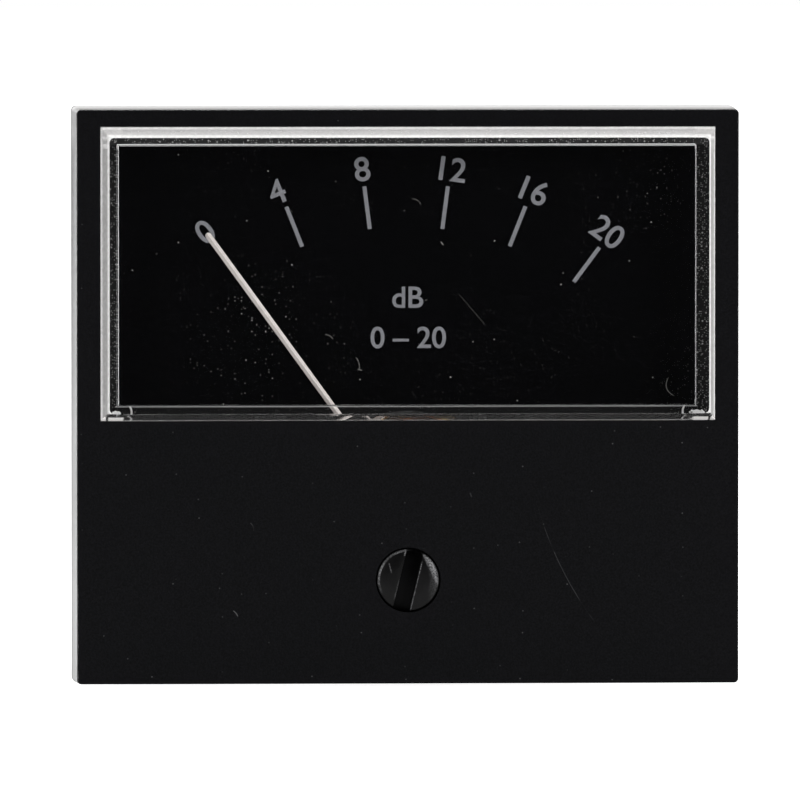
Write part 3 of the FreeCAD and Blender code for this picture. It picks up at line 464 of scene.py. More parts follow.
def slopeHighlights():
    # moulded slopes of the window with painted highlights: painted white, with a white line along the foot and
    # along the front edge, standing in for light refracted through the clear plastic
    def share(tree):
        depth = slopeDepth(tree)
        across, up = windowPlace(tree)
        foot = ramp(tree, depth, *slopeGlowLook["foot"])
        front = ramp(tree, depth, *slopeGlowLook["front"])
        side = ramp(tree, across, *(halfWide - inset for inset in slopeGlowLook["side"]))
        top = nearTop(tree, up, slopeGlowLook["top"])
        corner = times(tree, combine(tree, "MINIMUM", side, top), slopeGlowLook["corner"])
        streaks = ramp(tree, noise(tree, slopeGlowLook["streak"], 3, 0.6), *slopeGlowLook["streaks"])
        return times(tree, larger(tree, larger(tree, foot, front), corner), streaks)

    def tone(tree):
        # painted shade: darker on the upper slope, which faces the light
        _, up = windowPlace(tree)
        top = nearTop(tree, up, slopeGlowLook["upper"])
        middle = between(tree, slopeDepth(tree), *slopeGlowLook["middle"])
        topShaded = mixColour(tree, middle, slopeGlowLook["topShaded"], slopeGlowLook["topShadedMost"])
        return mixColour(tree, top, slopeGlowLook["white"], topShaded)

    return clearPlastic("slopeHighlights", 0.12, share, tone)


def lowerSlopeHighlights():
    # the lower slope: clear but for painted highlights, a thin white line along its foot and white towards both
    # ends
    def share(tree):
        across, _ = windowPlace(tree)
        depth = slopeDepth(tree)
        line = ramp(tree, depth, *lowerHighlightLook["line"])
        start, soft = lowerHighlightLook["stripFrom"], lowerHighlightLook["stripSoft"]
        end = ramp(tree, across, start - soft, start + soft)
        nick, half = lowerHighlightLook["nick"], lowerHighlightLook["nickHalf"]
        gap = between(tree, across, nick - half, nick + half, lowerHighlightLook["nickSoft"])
        strip = times(tree, end, ramp(tree, depth, *lowerHighlightLook["strip"]))
        return larger(tree, line, times(tree, strip, minus(tree, 1.0, gap)))

    return clearPlastic("lowerSlope", 0.03, share, lowerHighlightLook["colour"])


def lowerPaint():
    # the rear of the cover's plate is painted black below the window
    def share(tree):
        _, up = windowPlace(tree)
        return ramp(tree, up, -halfHigh + 0.05, -halfHigh - 0.05)

    return clearPlastic("lowerPaint", 0.02, share, (0.006, 0.006, 0.006))


def skirtWallGlow():
    # the window's inner walls with painted highlights, whitest at the top; below, only the last of the depth is
    # painted white, and the lower slope shows it as a line along its foot
    def share(tree):
        rear = coverLow.y + cover["paneRise"] + cover["plate"] + cover["skirt"]
        last = ramp(tree, axesOf(tree)["Y"], *((rear - inset) * mm for inset in skirtGlowLook["last"]))
        _, up = windowPlace(tree)
        top = nearTop(tree, up, skirtGlowLook["top"], skirtGlowLook["topShare"])
        ends = (-halfHigh + inset for inset in skirtGlowLook["low"])
        low = ramp(tree, up, *ends, *skirtGlowLook["lowShare"])
        return larger(tree, top, times(tree, low, last))

    return clearPlastic("skirtWallGlow", 0.02, share, skirtGlowLook["colour"])


def satinSide():
    # outer walls of the cover, hazier on top and towards the bottom
    def onTop(tree):
        _, up = windowPlace(tree)
        edge = cover["height"] / 2 - cover["paneMiddle"]
        return up, ramp(tree, up, edge - satinLook["edge"], edge)

    def share(tree):
        up, top = onTop(tree)
        low = ramp(tree, up, *satinLook["low"])
        return larger(tree, times(tree, top, satinLook["topShare"]), low)

    def tone(tree):
        # painted shade: the top gets darker towards its front edge
        _, top = onTop(tree)
        front = (coverLow.y + cover["paneRise"]) * mm
        depth = ramp(tree, axesOf(tree)["Y"], front, coverHigh.y * mm)
        darker = mixColour(tree, depth, satinLook["topFrontShade"], satinLook["topRear"])
        return mixColour(tree, top, satinLook["side"], darker)

    return clearPlastic("satinSide", 0.55, share, tone)


def footCornerGlints():
    # lower end of the window's skirt: near each corner a painted highlight, a white oval with a bowed line beside
    # it
    def share(tree):
        across, up = windowPlace(tree)
        low = -halfHigh
        halfWidth = ramp(tree, axesOf(tree)["X"], -mm, mm, *cornerGlint["halfWidths"])
        squared = ramp(tree, noise(tree, 0.3 * mm, 3), *cornerGlint["ragged"])
        for value, centre, half in (
            (across, cornerGlint["across"], halfWidth),
            (up, low + cornerGlint["up"], cornerGlint["halfHeight"]),
        ):
            reach = combine(tree, "DIVIDE", minus(tree, value, centre), half)
            squared = plus(tree, squared, times(tree, reach, reach))
        oval = ramp(tree, squared, 1.1, 0.9)
        rise = minus(tree, up, low + cornerGlint["arcUp"])
        bow = times(tree, times(tree, rise, rise), cornerGlint["arcBow"])
        offset = minus(tree, minus(tree, across, cornerGlint["arcAcross"]), bow)
        arc = between(tree, offset, -cornerGlint["arcWidth"], cornerGlint["arcWidth"], 0.03)
        marks = larger(tree, oval, times(tree, arc, cornerGlint["arcShare"]))
        ends = (low + lift for lift in cornerGlint["lip"])
        return larger(tree, marks, ramp(tree, up, *ends, *cornerGlint["lipShare"]))

    return clearPlastic("footCornerGlints", 0.02, share, skirtGlowLook["colour"])


def footShadeAndGlints():
    # the skirt's end: painted shade, dark, with bright specks as painted glints, more of them and a lighter ground
    # towards the top as painted light
    material = newMaterial("footShadeAndGlints", footShadeAndGlintLook["low"], 0.5, specular=0.1)
    tree = material.node_tree
    _, up = windowPlace(tree)
    both = larger(tree, specks(tree, *footShadeAndGlintLook["fine"]), specks(tree, *footShadeAndGlintLook["coarse"]))
    bright = times(tree, both, nearTop(tree, up, footShadeAndGlintLook["top"], footShadeAndGlintLook["share"]))
    ground = mixColour(tree, nearTop(tree, up, footShadeAndGlintLook["top"]), footShadeAndGlintLook["low"], footShadeAndGlintLook["high"])
    colourFrom(material, mixColour(tree, bright, ground, footShadeAndGlintLook["colour"]))
    return material


# specks have a spacing, a radius, a share, and a stretch and a turn where they are long; marks have
# a start, an end, a width, a bow and a strength
skin = {
    "grain": 0.16 * mm,
    "depth": 0.012 * mm,
    "dark": (0.0014, 0.0014, 0.0018),
    "light": (0.0052, 0.0052, 0.0062),
    "specks": (2.1 * mm, 0.075 * mm, 0.2),
    "hairs": (9 * mm, 0.05 * mm, 0.3, 14, 8),
    "dustShare": 0.5,
    "dust": (0.16, 0.16, 0.165),
    "broken": (0.42, 0.58, 0.05, 0.5),
    "marks": (
        ((11.85, -10.3), (16.6, -20.0), 0.035, -0.45, 0.45),
        ((-15.85, -19.35), (-15.45, -19.85), 0.06, 0.05, 1.0),
        ((-14.3, -11.4), (-14.0, -12.1), 0.05, 0.1, 0.6),
        ((5.6, -8.7), (5.75, -9.1), 0.07, 0.0, 1.0),
    ),
}
dial = {
    "patches": ((-12.5, 5.0, 8.5, 1.0), (21.0, 18.5, 5.0, 0.5)),  # x, z, radius and strength
    "fine": (0.31 * mm, 0.06 * mm, 0.09),
    "long": (0.7 * mm, 0.05 * mm, 0.25, 2.2, 35),
    "few": (2.05 * mm, 0.075 * mm, 0.11),
    "dustShare": 0.9,
    "dark": (0.001, 0.001, 0.0013),
    "dust": (0.75, 0.72, 0.68),
    "marks": (
        ((0.6, 17.8), (1.4, 17.3), 0.05, 0.15, 0.1),
        ((4.9, 9.1), (7.2, 6.4), 0.04, 0.0, 0.07),
        ((-4.5, 3.4), (-4.2, 2.3), 0.05, 0.12, 0.2),
        ((-4.35, 2.35), (-3.95, 2.25), 0.05, 0.0, 0.2),
        ((23.9, 1.5), (24.4, -0.1), 0.05, -0.4, 0.26),
        ((-7.3, 5.5), (-6.6, 5.1), 0.05, 0.1, 0.2),
        ((3.2, 13.9), (3.45, 13.6), 0.06, 0.0, 0.3),
    ),
}
knob = {
    "middle": (0.0, -16.6),
    "radius": 2.8,
    "slotWidth": 1.54,
    "slotTurn": 13.6,
    "edge": 0.07,
    "dark": (0.003, 0.003, 0.0032),
    "wearAndHighlight": (0.34, 0.34, 0.35),
    "sheen": 0.12,
}


def grainedFace():
    material = newMaterial("grainedFace", skin["dark"], 0.6, specular=0.06)
    tree = material.node_tree
    grain = noise(tree, skin["grain"], 3, 0.6)
    tone = mixColour(tree, ramp(tree, grain, 0.35, 0.7), skin["dark"], skin["light"])
    dust = larger(tree, specks(tree, *skin["specks"]), specks(tree, *skin["hairs"]))
    dust = times(tree, dust, skin["dustShare"])
    broken = ramp(tree, noise(tree, 1.6 * mm, 2), *skin["broken"])
    for start, end, width, bow, share in skin["marks"]:
        mark = times(tree, stroke(tree, start, end, width, bow), broken)
        dust = larger(tree, dust, times(tree, mark, share))
    colourFrom(material, mixColour(tree, dust, tone, skin["dust"]))
    bump(tree, grain, skin["depth"])
    return material


def knobWearAndHighlights():
    # dark satin moulding with painted highlights along parts of its rim and slot edges, mixed with wear, and
    # scuffed at one side
    material = newMaterial("knobMoulding", knob["dark"], 0.34)
    tree = material.node_tree
    axes = axesOf(tree)
    x, z = (
        minus(tree, times(tree, axes[axis], 1 / mm), value) for axis, value in zip("XZ", knob["middle"])
    )

    def towards(angle):
        # distance from the middle, measured in the direction that the angle gives
        partX = times(tree, x, math.sin(math.radians(angle)))
        partZ = times(tree, z, math.cos(math.radians(angle)))
        return plus(tree, partX, partZ)

    across = towards(knob["slotTurn"] + 90)
    along = towards(knob["slotTurn"])
    reach = distance(tree, x, z)
    half = knob["slotWidth"] / 2 + 0.03
    grit = ramp(tree, noise(tree, 0.16 * mm, 3, 0.7), 0.38, 0.62, 0.1, 1.0)
    rim = between(tree, reach, knob["radius"] - 0.2, knob["radius"] - 0.06, 0.05)
    scratch = between(tree, towards(76), -1.36, -1.28, 0.03)
    # painted highlights along the slot's edges and the rim, mixed with wear; the scratch is wear
    marks = (
        (between(tree, across, half, half + 0.06, 0.03), between(tree, along, -2.4, 1.7, 0.3), 0.42),
        (between(tree, across, -half - 0.05, -half, 0.03), between(tree, along, -1.7, -0.5, 0.4), 0.2),
        (between(tree, across, -half - 0.1, -half, 0.04), between(tree, along, 2.1, 2.7, 0.1), 0.35),
        (rim, ramp(tree, towards(-76), 2.0, 2.6), 0.55),
        (rim, ramp(tree, towards(-22), 2.3, 2.65), 0.35),
        (between(tree, reach, 2.2, 2.62, 0.15), ramp(tree, towards(66), 2.05, 2.4), 0.85),
        (between(tree, reach, 2.0, 2.65, 0.1), ramp(tree, towards(88), 1.7, 2.5), 0.14),
        (scratch, between(tree, towards(-14), 1.1, 1.8, 0.15), 0.3),
    )
    wearAndHighlight = 0.0
    for shape, where, share in marks:
        mark = times(tree, times(tree, shape, where), share)
        wearAndHighlight = larger(tree, times(tree, mark, grit), wearAndHighlight)
    colourFrom(material, mixColour(tree, wearAndHighlight, knob["dark"], knob["wearAndHighlight"]))
    front = adjusterLow.y
    sunk = ramp(tree, axes["Y"], (front + 0.15) * mm, (front + 0.4) * mm, knob["sheen"], 0.03)
    tree.links.new(sunk, shaderOf(material).inputs["Specular IOR Level"])
    bump(tree, noise(tree, 0.2 * mm, 3, 0.6), 0.003 * mm)
    return material


def dullDial():
    material = newMaterial("dullDial", dial["dark"], 0.6, specular=0.01)
    tree = material.node_tree
    axes = axesOf(tree)
    where = ramp(tree, noise(tree, 9 * mm, 2), 0.5, 0.68, 0.02, 0.13)
    for x, z, wide, most in dial["patches"]:
        away = distance(tree, minus(tree, axes["X"], x * mm), minus(tree, axes["Z"], z * mm))
        near = ramp(tree, away, wide * mm, 0.3 * wide * mm, 0.0, most)
        patchy = times(tree, near, ramp(tree, noise(tree, 3 * mm, 2), 0.35, 0.6, 0.2, 1.0))
        where = larger(tree, where, patchy)
    fine = larger(tree, specks(tree, *dial["fine"]), specks(tree, *dial["long"]))
    both = larger(tree, times(tree, fine, where), specks(tree, *dial["few"]))
    dust = times(tree, both, dial["dustShare"])
    for start, end, width, bow, share in dial["marks"]:
        dust = larger(tree, dust, times(tree, stroke(tree, start, end, width, bow), share))
    colourFrom(material, mixColour(tree, dust, dial["dark"], dial["dust"]))
    return material


def paint(
    name, colour, roughness, spread=0.12, size=0.3 * mm, depth=0.004 * mm, metallic=0.0, specular=0.5
):
    # an even finish with a faint mottle in its tone, roughness and surface
    material = newMaterial(name, colour, roughness, metallic, specular)
    tree = material.node_tree
    mottle = noise(tree, size, 3, 0.6)
    dark = [c * (1 - spread) for c in colour]
    light = [min(1.0, c * (1 + spread)) for c in colour]
    colourFrom(material, mixColour(tree, ramp(tree, mottle, 0.3, 0.7), dark, light))
    rough = ramp(tree, mottle, 0.3, 0.7, roughness * 0.85, min(1.0, roughness * 1.15))
    tree.links.new(rough, shaderOf(material).inputs["Roughness"])
    bump(tree, mottle, depth)
    return material


finishes = {
    "clear_acrylic": clearPlastic("clearAcrylic", 0.02),
    "face_black": grainedFace(),
    "case_black": paint(
        "caseMoulding", (0.008, 0.008, 0.0085), 0.5, 0.3, 0.25 * mm, 0.012 * mm, specular=0.25
    ),
    "knob_black": knobWearAndHighlights(),
    "dial_black": dullDial(),
    "pointer_cream": paint("pointerEnamel", (0.64, 0.58, 0.545), 0.5, 0.1, 0.12 * mm, 0.004 * mm),
    "stop_black": paint("stopOxide", (0.01, 0.01, 0.01), 0.4, 0.2),
    "plated_steel": paint("zincPlate", (0.5, 0.5, 0.49), 0.32, 0.1, 0.5 * mm, 0.001 * mm, 1.0),
    "nickel_brass": paint("nickelPlate", (0.52, 0.48, 0.41), 0.3, 0.08, 0.5 * mm, 0.001 * mm, 1.0),
    "brass": paint("turnedBrass", (0.72, 0.53, 0.25), 0.3, 0.12, metallic=1.0),
    "zinc_casting": paint("zincCasting", (0.45, 0.46, 0.47), 0.5, 0.15, 0.5 * mm, 0.02 * mm, 1.0),
    "soft_iron": paint("softIron", (0.3, 0.3, 0.31), 0.4, 0.15, metallic=1.0),
    "magnet": paint("groundMagnet", (0.16, 0.16, 0.17), 0.45, 0.2, metallic=0.8),
    "spacer_plastic": paint("naturalNylon", (0.75, 0.73, 0.68), 0.5, 0.05),
    "aluminium": paint("rolledFoil", (0.75, 0.76, 0.77), 0.35, 0.08, metallic=1.0),
    "enamelled_copper": paint("enamelledCopper", (0.45, 0.14, 0.05), 0.3, 0.2, 0.1 * mm, metallic=0.9),
    "spring_bronze": paint("springBronze", (0.6, 0.38, 0.18), 0.25, 0.1, metallic=1.0),
    "ruby": paint("rubyJewel", (0.45, 0.02, 0.05), 0.1, 0.1),
    "wire_cover": paint("wireCover", (0.35, 0.03, 0.02), 0.5, 0.1),
}
slotOf = {part["node"]: part["material_slot"] for part in frame["record"]["subparts"]}
darkened = {"dial_screws": "stop_black"}  # screws in view on the dial are blackened
for name, node in nodes.items():
    node.data.materials.clear()
    node.data.materials.append(finishes[darkened.get(name, slotOf[name])])
print("finishes given to", len(nodes), "nodes")


def makeLoop(bm, points):
    return [bm.verts.new(p) for p in points]


def joinLoops(bm, first, second):
    count = len(first)
    faces = []
    for i in range(count):
        j = (i + 1) % count
        faces.append(bm.faces.new((first[i], first[j], second[j], second[i])))
    return faces


def fillFlat(bm, loops):
    # a flat face bounded by the first loop and open at the others
    edges = []
    for loop in loops:
        for i, vert in enumerate(loop):
            other = loop[(i + 1) % len(loop)]
            edges.append(bm.edges.get((vert, other)) or bm.edges.new((vert, other)))
    filled = bmesh.ops.triangle_fill(bm, use_beauty=True, use_dissolve=False, edges=edges)
    return [f for f in filled["geom"] if isinstance(f, bmesh.types.BMFace)]


def roundedRect(width, height, radius, middle, y, steps=8):
    # points in millimetres, in the plane of the given y
    points = []
    for turn, (sideX, sideZ) in enumerate(((1, 1), (-1, 1), (-1, -1), (1, -1))):
        centreX = middle[0] + sideX * (width / 2 - radius)
        centreZ = middle[1] + sideZ * (height / 2 - radius)
        for step in range(steps + 1):
            angle = math.radians(90 * (turn + step / steps))
            corner = (centreX + radius * math.cos(angle), y, centreZ + radius * math.sin(angle))
            points.append(Vector(corner) * mm)
    return points


def circle(radius, middle, y, count=48):
    points = []
    for i in range(count):
        angle = math.tau * i / count
        place = (middle[0] + radius * math.cos(angle), y, middle[1] + radius * math.sin(angle))
        points.append(Vector(place) * mm)
    return points


def roundedProfile(corners, steps=5):
    # (inset, y, radius) corners become (inset, y) points with an arc at each corner
    points = []
    for index, (inset, y, radius) in enumerate(corners):
        here = Vector((inset, y))
        if radius <= 0 or index in (0, len(corners) - 1):
            points.append(here)
            continue
        before = (Vector(corners[index - 1][:2]) - here).normalized()
        after = (Vector(corners[index + 1][:2]) - here).normalized()
        half = before.angle(after) / 2
        reach = radius / math.tan(half)
        centre = here + (before + after).normalized() * (radius / math.sin(half))
        start = here + before * reach - centre
        end = here + after * reach - centre
        sweep = start.angle(end)
        for step in range(steps + 1):
            share = step / steps
            blend = start * math.sin((1 - share) * sweep) + end * math.sin(share * sweep)
            points.append(centre + blend / math.sin(sweep))
    return points


def sweepRect(bm, profile, width, height, middle, radius, radiusEnd=None, sides=(1, 1, 1, 1)):
    # loops of a rounded rectangle that follow a profile, each joined to the next; sides are the
    # shares of the inset taken left, right, at the top and at the bottom
    loops = []
    last = len(profile) - 1
    left, right, top, bottom = sides
    for index, (inset, y) in enumerate(profile):
        corner = radius if radiusEnd is None else radius + (radiusEnd - radius) * index / last
        centre = (middle[0] + inset * (left - right) / 2, middle[1] + inset * (bottom - top) / 2)
        wide, high = width - inset * (left + right), height - inset * (top + bottom)
        loops.append(makeLoop(bm, roundedRect(wide, high, corner, centre, y)))
    return loops, [joinLoops(bm, first, second) for first, second in zip(loops, loops[1:])]


def finishMesh(bm, name, materials, smooth=None):
    bmesh.ops.remove_doubles(bm, verts=bm.verts, dist=1e-7)
    bmesh.ops.recalc_face_normals(bm, faces=bm.faces)
    mesh = bpy.data.meshes.new(name)
    bm.to_mesh(mesh)
    bm.free()
    for material in materials:
        mesh.materials.append(material)
    if smooth is not None:
        mesh.shade_smooth()
        mesh.set_sharp_from_angle(angle=math.radians(smooth))
    return mesh


def bevelled(name, width, angle=35.0, segments=2, picked=None):
    # a copy of a CAD solid with its flat faces joined and its sharp edges rounded; picked says by
    # an edge's middle in millimetres whether that edge is one of them
    node = nodes[name]
    bm = bmesh.new()
    bm.from_mesh(node.data)
    bm.transform(node.matrix_world)
    bmesh.ops.remove_doubles(bm, verts=bm.verts, dist=1e-6)
    bmesh.ops.dissolve_limit(bm, angle_limit=math.radians(0.5), verts=bm.verts, edges=bm.edges)
    limit = math.radians(angle)
    sharp = [e for e in bm.edges if len(e.link_faces) == 2 and e.calc_face_angle(0) > limit]
    if picked is not None:
        sharp = [e for e in sharp if picked((e.verts[0].co + e.verts[1].co) / 2 / mm)]
    bmesh.ops.bevel(
        bm,
        geom=sharp,
        offset=width * mm,
        offset_type="OFFSET",
        segments=segments,
        profile=0.5,
        affect="EDGES",
        clamp_overlap=True,
    )
    bmesh.ops.triangulate(bm, faces=[f for f in bm.faces if len(f.verts) > 4])
    return finishMesh(bm, name + "Rounded", [finishes[slotOf[name]]], 30)


def addPiece(name, mesh, body, slot, *replaced):
    piece = bpy.data.objects.new(name, mesh)
    scene.collection.objects.link(piece)
    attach(piece, body)
    if replaced:
        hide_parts(*replaced)


def makeCover():
    painted = paint("paintedRecess", (0.004, 0.004, 0.004), 0.6, 0.3, specular=0.1)
    looks = {
        "clear": finishes["clear_acrylic"],
        "footShadeAndGlint": footShadeAndGlints(),
        "satin": satinSide(),
        "slopeGlow": slopeHighlights(),
        "painted": painted,
        "lowerHighlight": lowerSlopeHighlights(),
        "cornerGlints": footCornerGlints(),
        "rear": lowerPaint(),
        "wall": skirtWallGlow(),
    }
    numbers = {look: number for number, look in enumerate(looks)}

    def give(faces, look):
        for f in faces:
            f.material_index = numbers[look]

    bm = bmesh.new()
    width, height, corner = cover["width"], cover["height"], cover["corner"]
    paneWidth, paneHeight, paneFoot = cover["paneWidth"], cover["paneHeight"], cover["paneFoot"]
    paneFront = coverLow.y
    face = paneFront + cover["paneRise"] + cover["airGap"]
    rear = coverHigh.y - cover["airGap"]
    plateRear = paneFront + cover["paneRise"] + cover["plate"]
    skirtRear = plateRear + cover["skirt"]
    paneRear = paneFront + cover["paneGlass"]
    middle = (0, 0)
    window = (0, cover["paneMiddle"])
    hole = (0, (adjusterLow.z + adjusterHigh.z) / 2)
    draft = (coverHigh.x - coverLow.x - width) / 2
    edge = cover["edge"]
    beyond = 3  # how far a profile runs on, to give its last corner a direction

    outside = roundedProfile([(-draft, rear, 0), (0, face, edge), (beyond, face, 0)])[:-1]
    outer, bands = sweepRect(bm, outside, width, height, middle, corner)
    give(bands[0], "satin")
    slope = roundedProfile(
        [(0, face, 0), (cover["paneSlope"], paneFront, edge), (beyond, paneFront, 0)]
    )[:-1]
    pane, slopeBands = sweepRect(
        bm, slope, paneWidth, paneHeight, window, paneFoot, cover["paneCorner"], cover["paneSides"]
    )
    fillFlat(bm, [pane[-1]])
    low = cover["paneMiddle"] - paneHeight / 2 + cover["paneSlope"]
    # the upper and side slopes take painted highlights, and the first band of the lower slope takes its own
    # painted highlights
    for number, band in enumerate(slopeBands):
        lower = "clear" if number else "lowerHighlight"
        for f in band:
            give([f], "slopeGlow" if f.calc_center_median().z / mm > low else lower)

    wall = cover["paneWall"]
    lean = (skirtRear - paneRear) * math.tan(math.radians(cover["wallDraft"]))
    inside = roundedProfile(
        [
            (wall + beyond, paneRear, 0),
            (wall, paneRear, cover["innerEdge"]),
            (wall - lean, skirtRear, cover["footEdge"]),
            (0, skirtRear, 0.01),
            (0, plateRear, 0),
        ]
    )[1:]
    recess, bands = sweepRect(
        bm, inside, paneWidth, paneHeight, window, paneFoot, sides=cover["wallSides"]
    )
    fillFlat(bm, [recess[0]])
    for (inset, y), (nextInset, nextY), band in zip(inside, inside[1:], bands):
        # the skirt's end takes painted shade and glints, with painted highlights near the lower corners
        if abs(y - skirtRear) < 0.02 and abs(nextInset - inset) > 0.2:
            for f in band:
                give([f], "cornerGlints" if f.calc_center_median().z / mm < low else "footShadeAndGlint")
        # the inner walls take painted highlights
        elif inset > 1 and nextY - y > 0.3:
            give(band, "wall")

    around = 2 * cover["wall"]
    ends = [(0, plateRear), (0, rear)]
    cavity, _ = sweepRect(bm, ends, width - around, height - around, middle, corner)
    joinLoops(bm, cavity[-1], outer[0])

    floorY = face + cover["recessDepth"]
    bossRear = plateRear + cover["bossHeight"]
    rings = [
        makeLoop(bm, circle(radius, hole, y))
        for radius, y in (
            (cover["recess"], face),
            (cover["recess"], floorY),
            (cover["bore"], floorY),
            (cover["bore"], bossRear),
            (cover["boss"], bossRear),
            (cover["boss"], plateRear),
        )
    ]
    for first, second in zip(rings, rings[1:]):
        give(joinLoops(bm, first, second), "painted")
    fillFlat(bm, [outer[-1], pane[0], rings[0]])
    give(fillFlat(bm, [cavity[0], recess[-1], rings[-1]]), "rear")
    mesh = finishMesh(bm, "clearCover", looks.values())
    addPiece("clearCover", mesh, "case", "clear_acrylic", "front_cover")


makeCover()
print("cover moulded")

addPiece("zeroKnob", bevelled("zero_screw", knob["edge"]), "zero_adjuster", "knob_black", "zero_screw")
print("zero adjuster rounded")

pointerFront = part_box("pointer")[0].y / mm


def ridgeOnly(middle):
    return middle.y < pointerFront + 0.02


blade = bevelled("pointer", 0.2, 35, 5, ridgeOnly)
addPiece("pointerBlade", blade, "movement", "pointer_cream", "pointer")
print("pointer's ridge rounded")

dialPrint = {
    "shift": (0.05, -0.107),
    "proud": 0.015,
    "ticks": (-36.0, -21.65, -7.4, 7.4, 21.6, 36.6),
    "numbers": {"0": -36.0, "4": -22.2, "8": -7.4, "12": 7.9, "16": 22.1, "20": 36.2},
    "tickFrom": 25.6,
    "tickTo": 29.5,
    "tickWidth": 0.36,
    "numberRadius": 31.08,
    "numberHeight": 2.2,
    "unitHeight": 1.96,
    "unitPlace": (0.15, 8.06),
    "rangePlace": (0.2, 4.4),
    "bolder": 0.013,
    "half": 0.01,  # half the letters' thickness, as a share of the font's size
    "digit": 0.72,  # a digit's height in the font, as a share of its size
}
printInk = paint("printInk", (0.2, 0.2, 0.215), 0.6, 0.12, 0.12 * mm, 0.001 * mm)


def evaluated(holder):
    # the plain mesh that a curve or a tree makes; its object goes
    made = bpy.data.meshes.new_from_object(holder.evaluated_get(bpy.context.evaluated_depsgraph_get()))
    bpy.data.objects.remove(holder)
    return made


def lettering(text, height, place, angle=0.0, centred=False):
    # flat text laid on the dial as a mesh, with its digits' height in millimetres
    curve = bpy.data.curves.new(text, "FONT")
    curve.body = text
    curve.align_x = "CENTER"
    curve.offset = dialPrint["bolder"]
    curve.extrude = dialPrint["half"]
    holder = bpy.data.objects.new(text, curve)
    scene.collection.objects.link(holder)
    mesh = evaluated(holder)
    across = [v.co.x for v in mesh.vertices]
    upwards = [v.co.y for v in mesh.vertices]
    drop = -(min(upwards) + max(upwards)) / 2 if centred else 0
    shift = Matrix.Translation((-(min(across) + max(across)) / 2, drop, 0))
    turn = Matrix.Rotation(math.radians(90), 4, "X") @ Matrix.Rotation(math.radians(-angle), 4, "Z")
    scale = Matrix.Scale(height / dialPrint["digit"] * mm, 4)
    mesh.transform(Matrix.Translation(place) @ turn @ scale @ shift)
    return mesh


def newGroup(name, sizes):
    # a geometry tree with one mesh in, one out and a named input for each size
    group = bpy.data.node_groups.new(name, "GeometryNodeTree")
    face = group.interface
    face.new_socket("Geometry", in_out="OUTPUT", socket_type="NodeSocketGeometry")
    face.new_socket("Geometry", in_out="INPUT", socket_type="NodeSocketGeometry")
    identifiers = {}
    for label, value in sizes.items():
        socket = face.new_socket(label, in_out="INPUT", socket_type="NodeSocketFloat")
        identifiers[socket.identifier] = value
    return group, addNode(group, "NodeGroupInput").outputs, identifiers


def grown(name, mesh, group, identifiers, geometry, material):
    # closes the tree, runs it on the mesh and returns the plain mesh that it makes
    real = addNode(group, "GeometryNodeRealizeInstances", {0: geometry}).outputs[0]
    finish = addNode(group, "GeometryNodeSetMaterial", {"Geometry": real, "Material": material})
    addNode(group, "NodeGroupOutput", {0: finish.outputs[0]})
    holder = bpy.data.objects.new(name, mesh)
    modifier = holder.modifiers.new(name, "NODES")
    modifier.node_group = group
    for identifier, value in identifiers.items():
        modifier[identifier] = value
    scene.collection.objects.link(holder)
    return evaluated(holder)


def attribute(group, name, kind="FLOAT"):
    node = addNode(group, "GeometryNodeInputNamedAttribute", {"Name": name}, data_type=kind)
    return node.outputs["Attribute"]


def makeTicks(frontY, axisZ):
    sizes = {
        "Inner radius": dialPrint["tickFrom"] * mm,
        "Outer radius": dialPrint["tickTo"] * mm,
        "Width": dialPrint["tickWidth"] * mm,
        "Thickness": dialPrint["proud"] * mm,
    }
    group, given, identifiers = newGroup("scaleTicks", sizes)
    inner, outer = given["Inner radius"], given["Outer radius"]
    size = vector(group, given["Width"], given["Thickness"], minus(group, outer, inner))
    bar = addNode(group, "GeometryNodeMeshCube", {"Size": size}).outputs["Mesh"]
    reach = vector(group, z=times(group, plus(group, outer, inner), 0.5))
    bar = addNode(group, "GeometryNodeTransform", {"Geometry": bar, "Translation": reach}).outputs[0]
    turn = vector(group, y=attribute(group, "turn"))
    inputs = {"Points": given["Geometry"], "Instance": bar, "Rotation": turn}
    place = addNode(group, "GeometryNodeInstanceOnPoints", inputs)

    marks = bpy.data.meshes.new("ticks")
    marks.from_pydata([(0, 0, 0)] * len(dialPrint["ticks"]), [], [])
    turns = marks.attributes.new("turn", "FLOAT", "POINT")
    turns.data.foreach_set("value", [math.radians(angle) for angle in dialPrint["ticks"]])
    mesh = grown("ticks", marks, group, identifiers, place.outputs[0], printInk)
    shiftX, shiftZ = (value * mm for value in dialPrint["shift"])
    mesh.transform(Matrix.Translation((shiftX, frontY, axisZ + shiftZ)))
    return mesh


def makeDialPrint():
    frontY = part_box("dial_plate")[0].y - dialPrint["proud"] * mm / 2
    axisZ = next(j for j in frame["joints"] if j["name"] == "pointer_swing")["pos_m"][2]
    shiftX, shiftZ = (value * mm for value in dialPrint["shift"])
    meshes = [makeTicks(frontY, axisZ)]
    reach = dialPrint["numberRadius"] * mm
    for number, angle in dialPrint["numbers"].items():
        x = shiftX + reach * math.sin(math.radians(angle))
        z = axisZ + shiftZ + reach * math.cos(math.radians(angle))
        place = Vector((x, frontY, z))
        meshes.append(lettering(number, dialPrint["numberHeight"], place, angle, True))
    for text, height, (x, z) in (
        ("dB", dialPrint["unitHeight"], dialPrint["unitPlace"]),
        ("0 – 20", dialPrint["unitHeight"], dialPrint["rangePlace"]),
    ):
        meshes.append(lettering(text, height, Vector((shiftX + x * mm, frontY, shiftZ + z * mm))))
    bm = bmesh.new()
    for mesh in meshes:
        bm.from_mesh(mesh)
        bpy.data.meshes.remove(mesh)
    for face in bm.faces:
        face.material_index = 0
    addPiece("dialPrint", finishMesh(bm, "dialPrint", [printInk]), "case", "dial_black")


makeDialPrint()
print("dial printed")

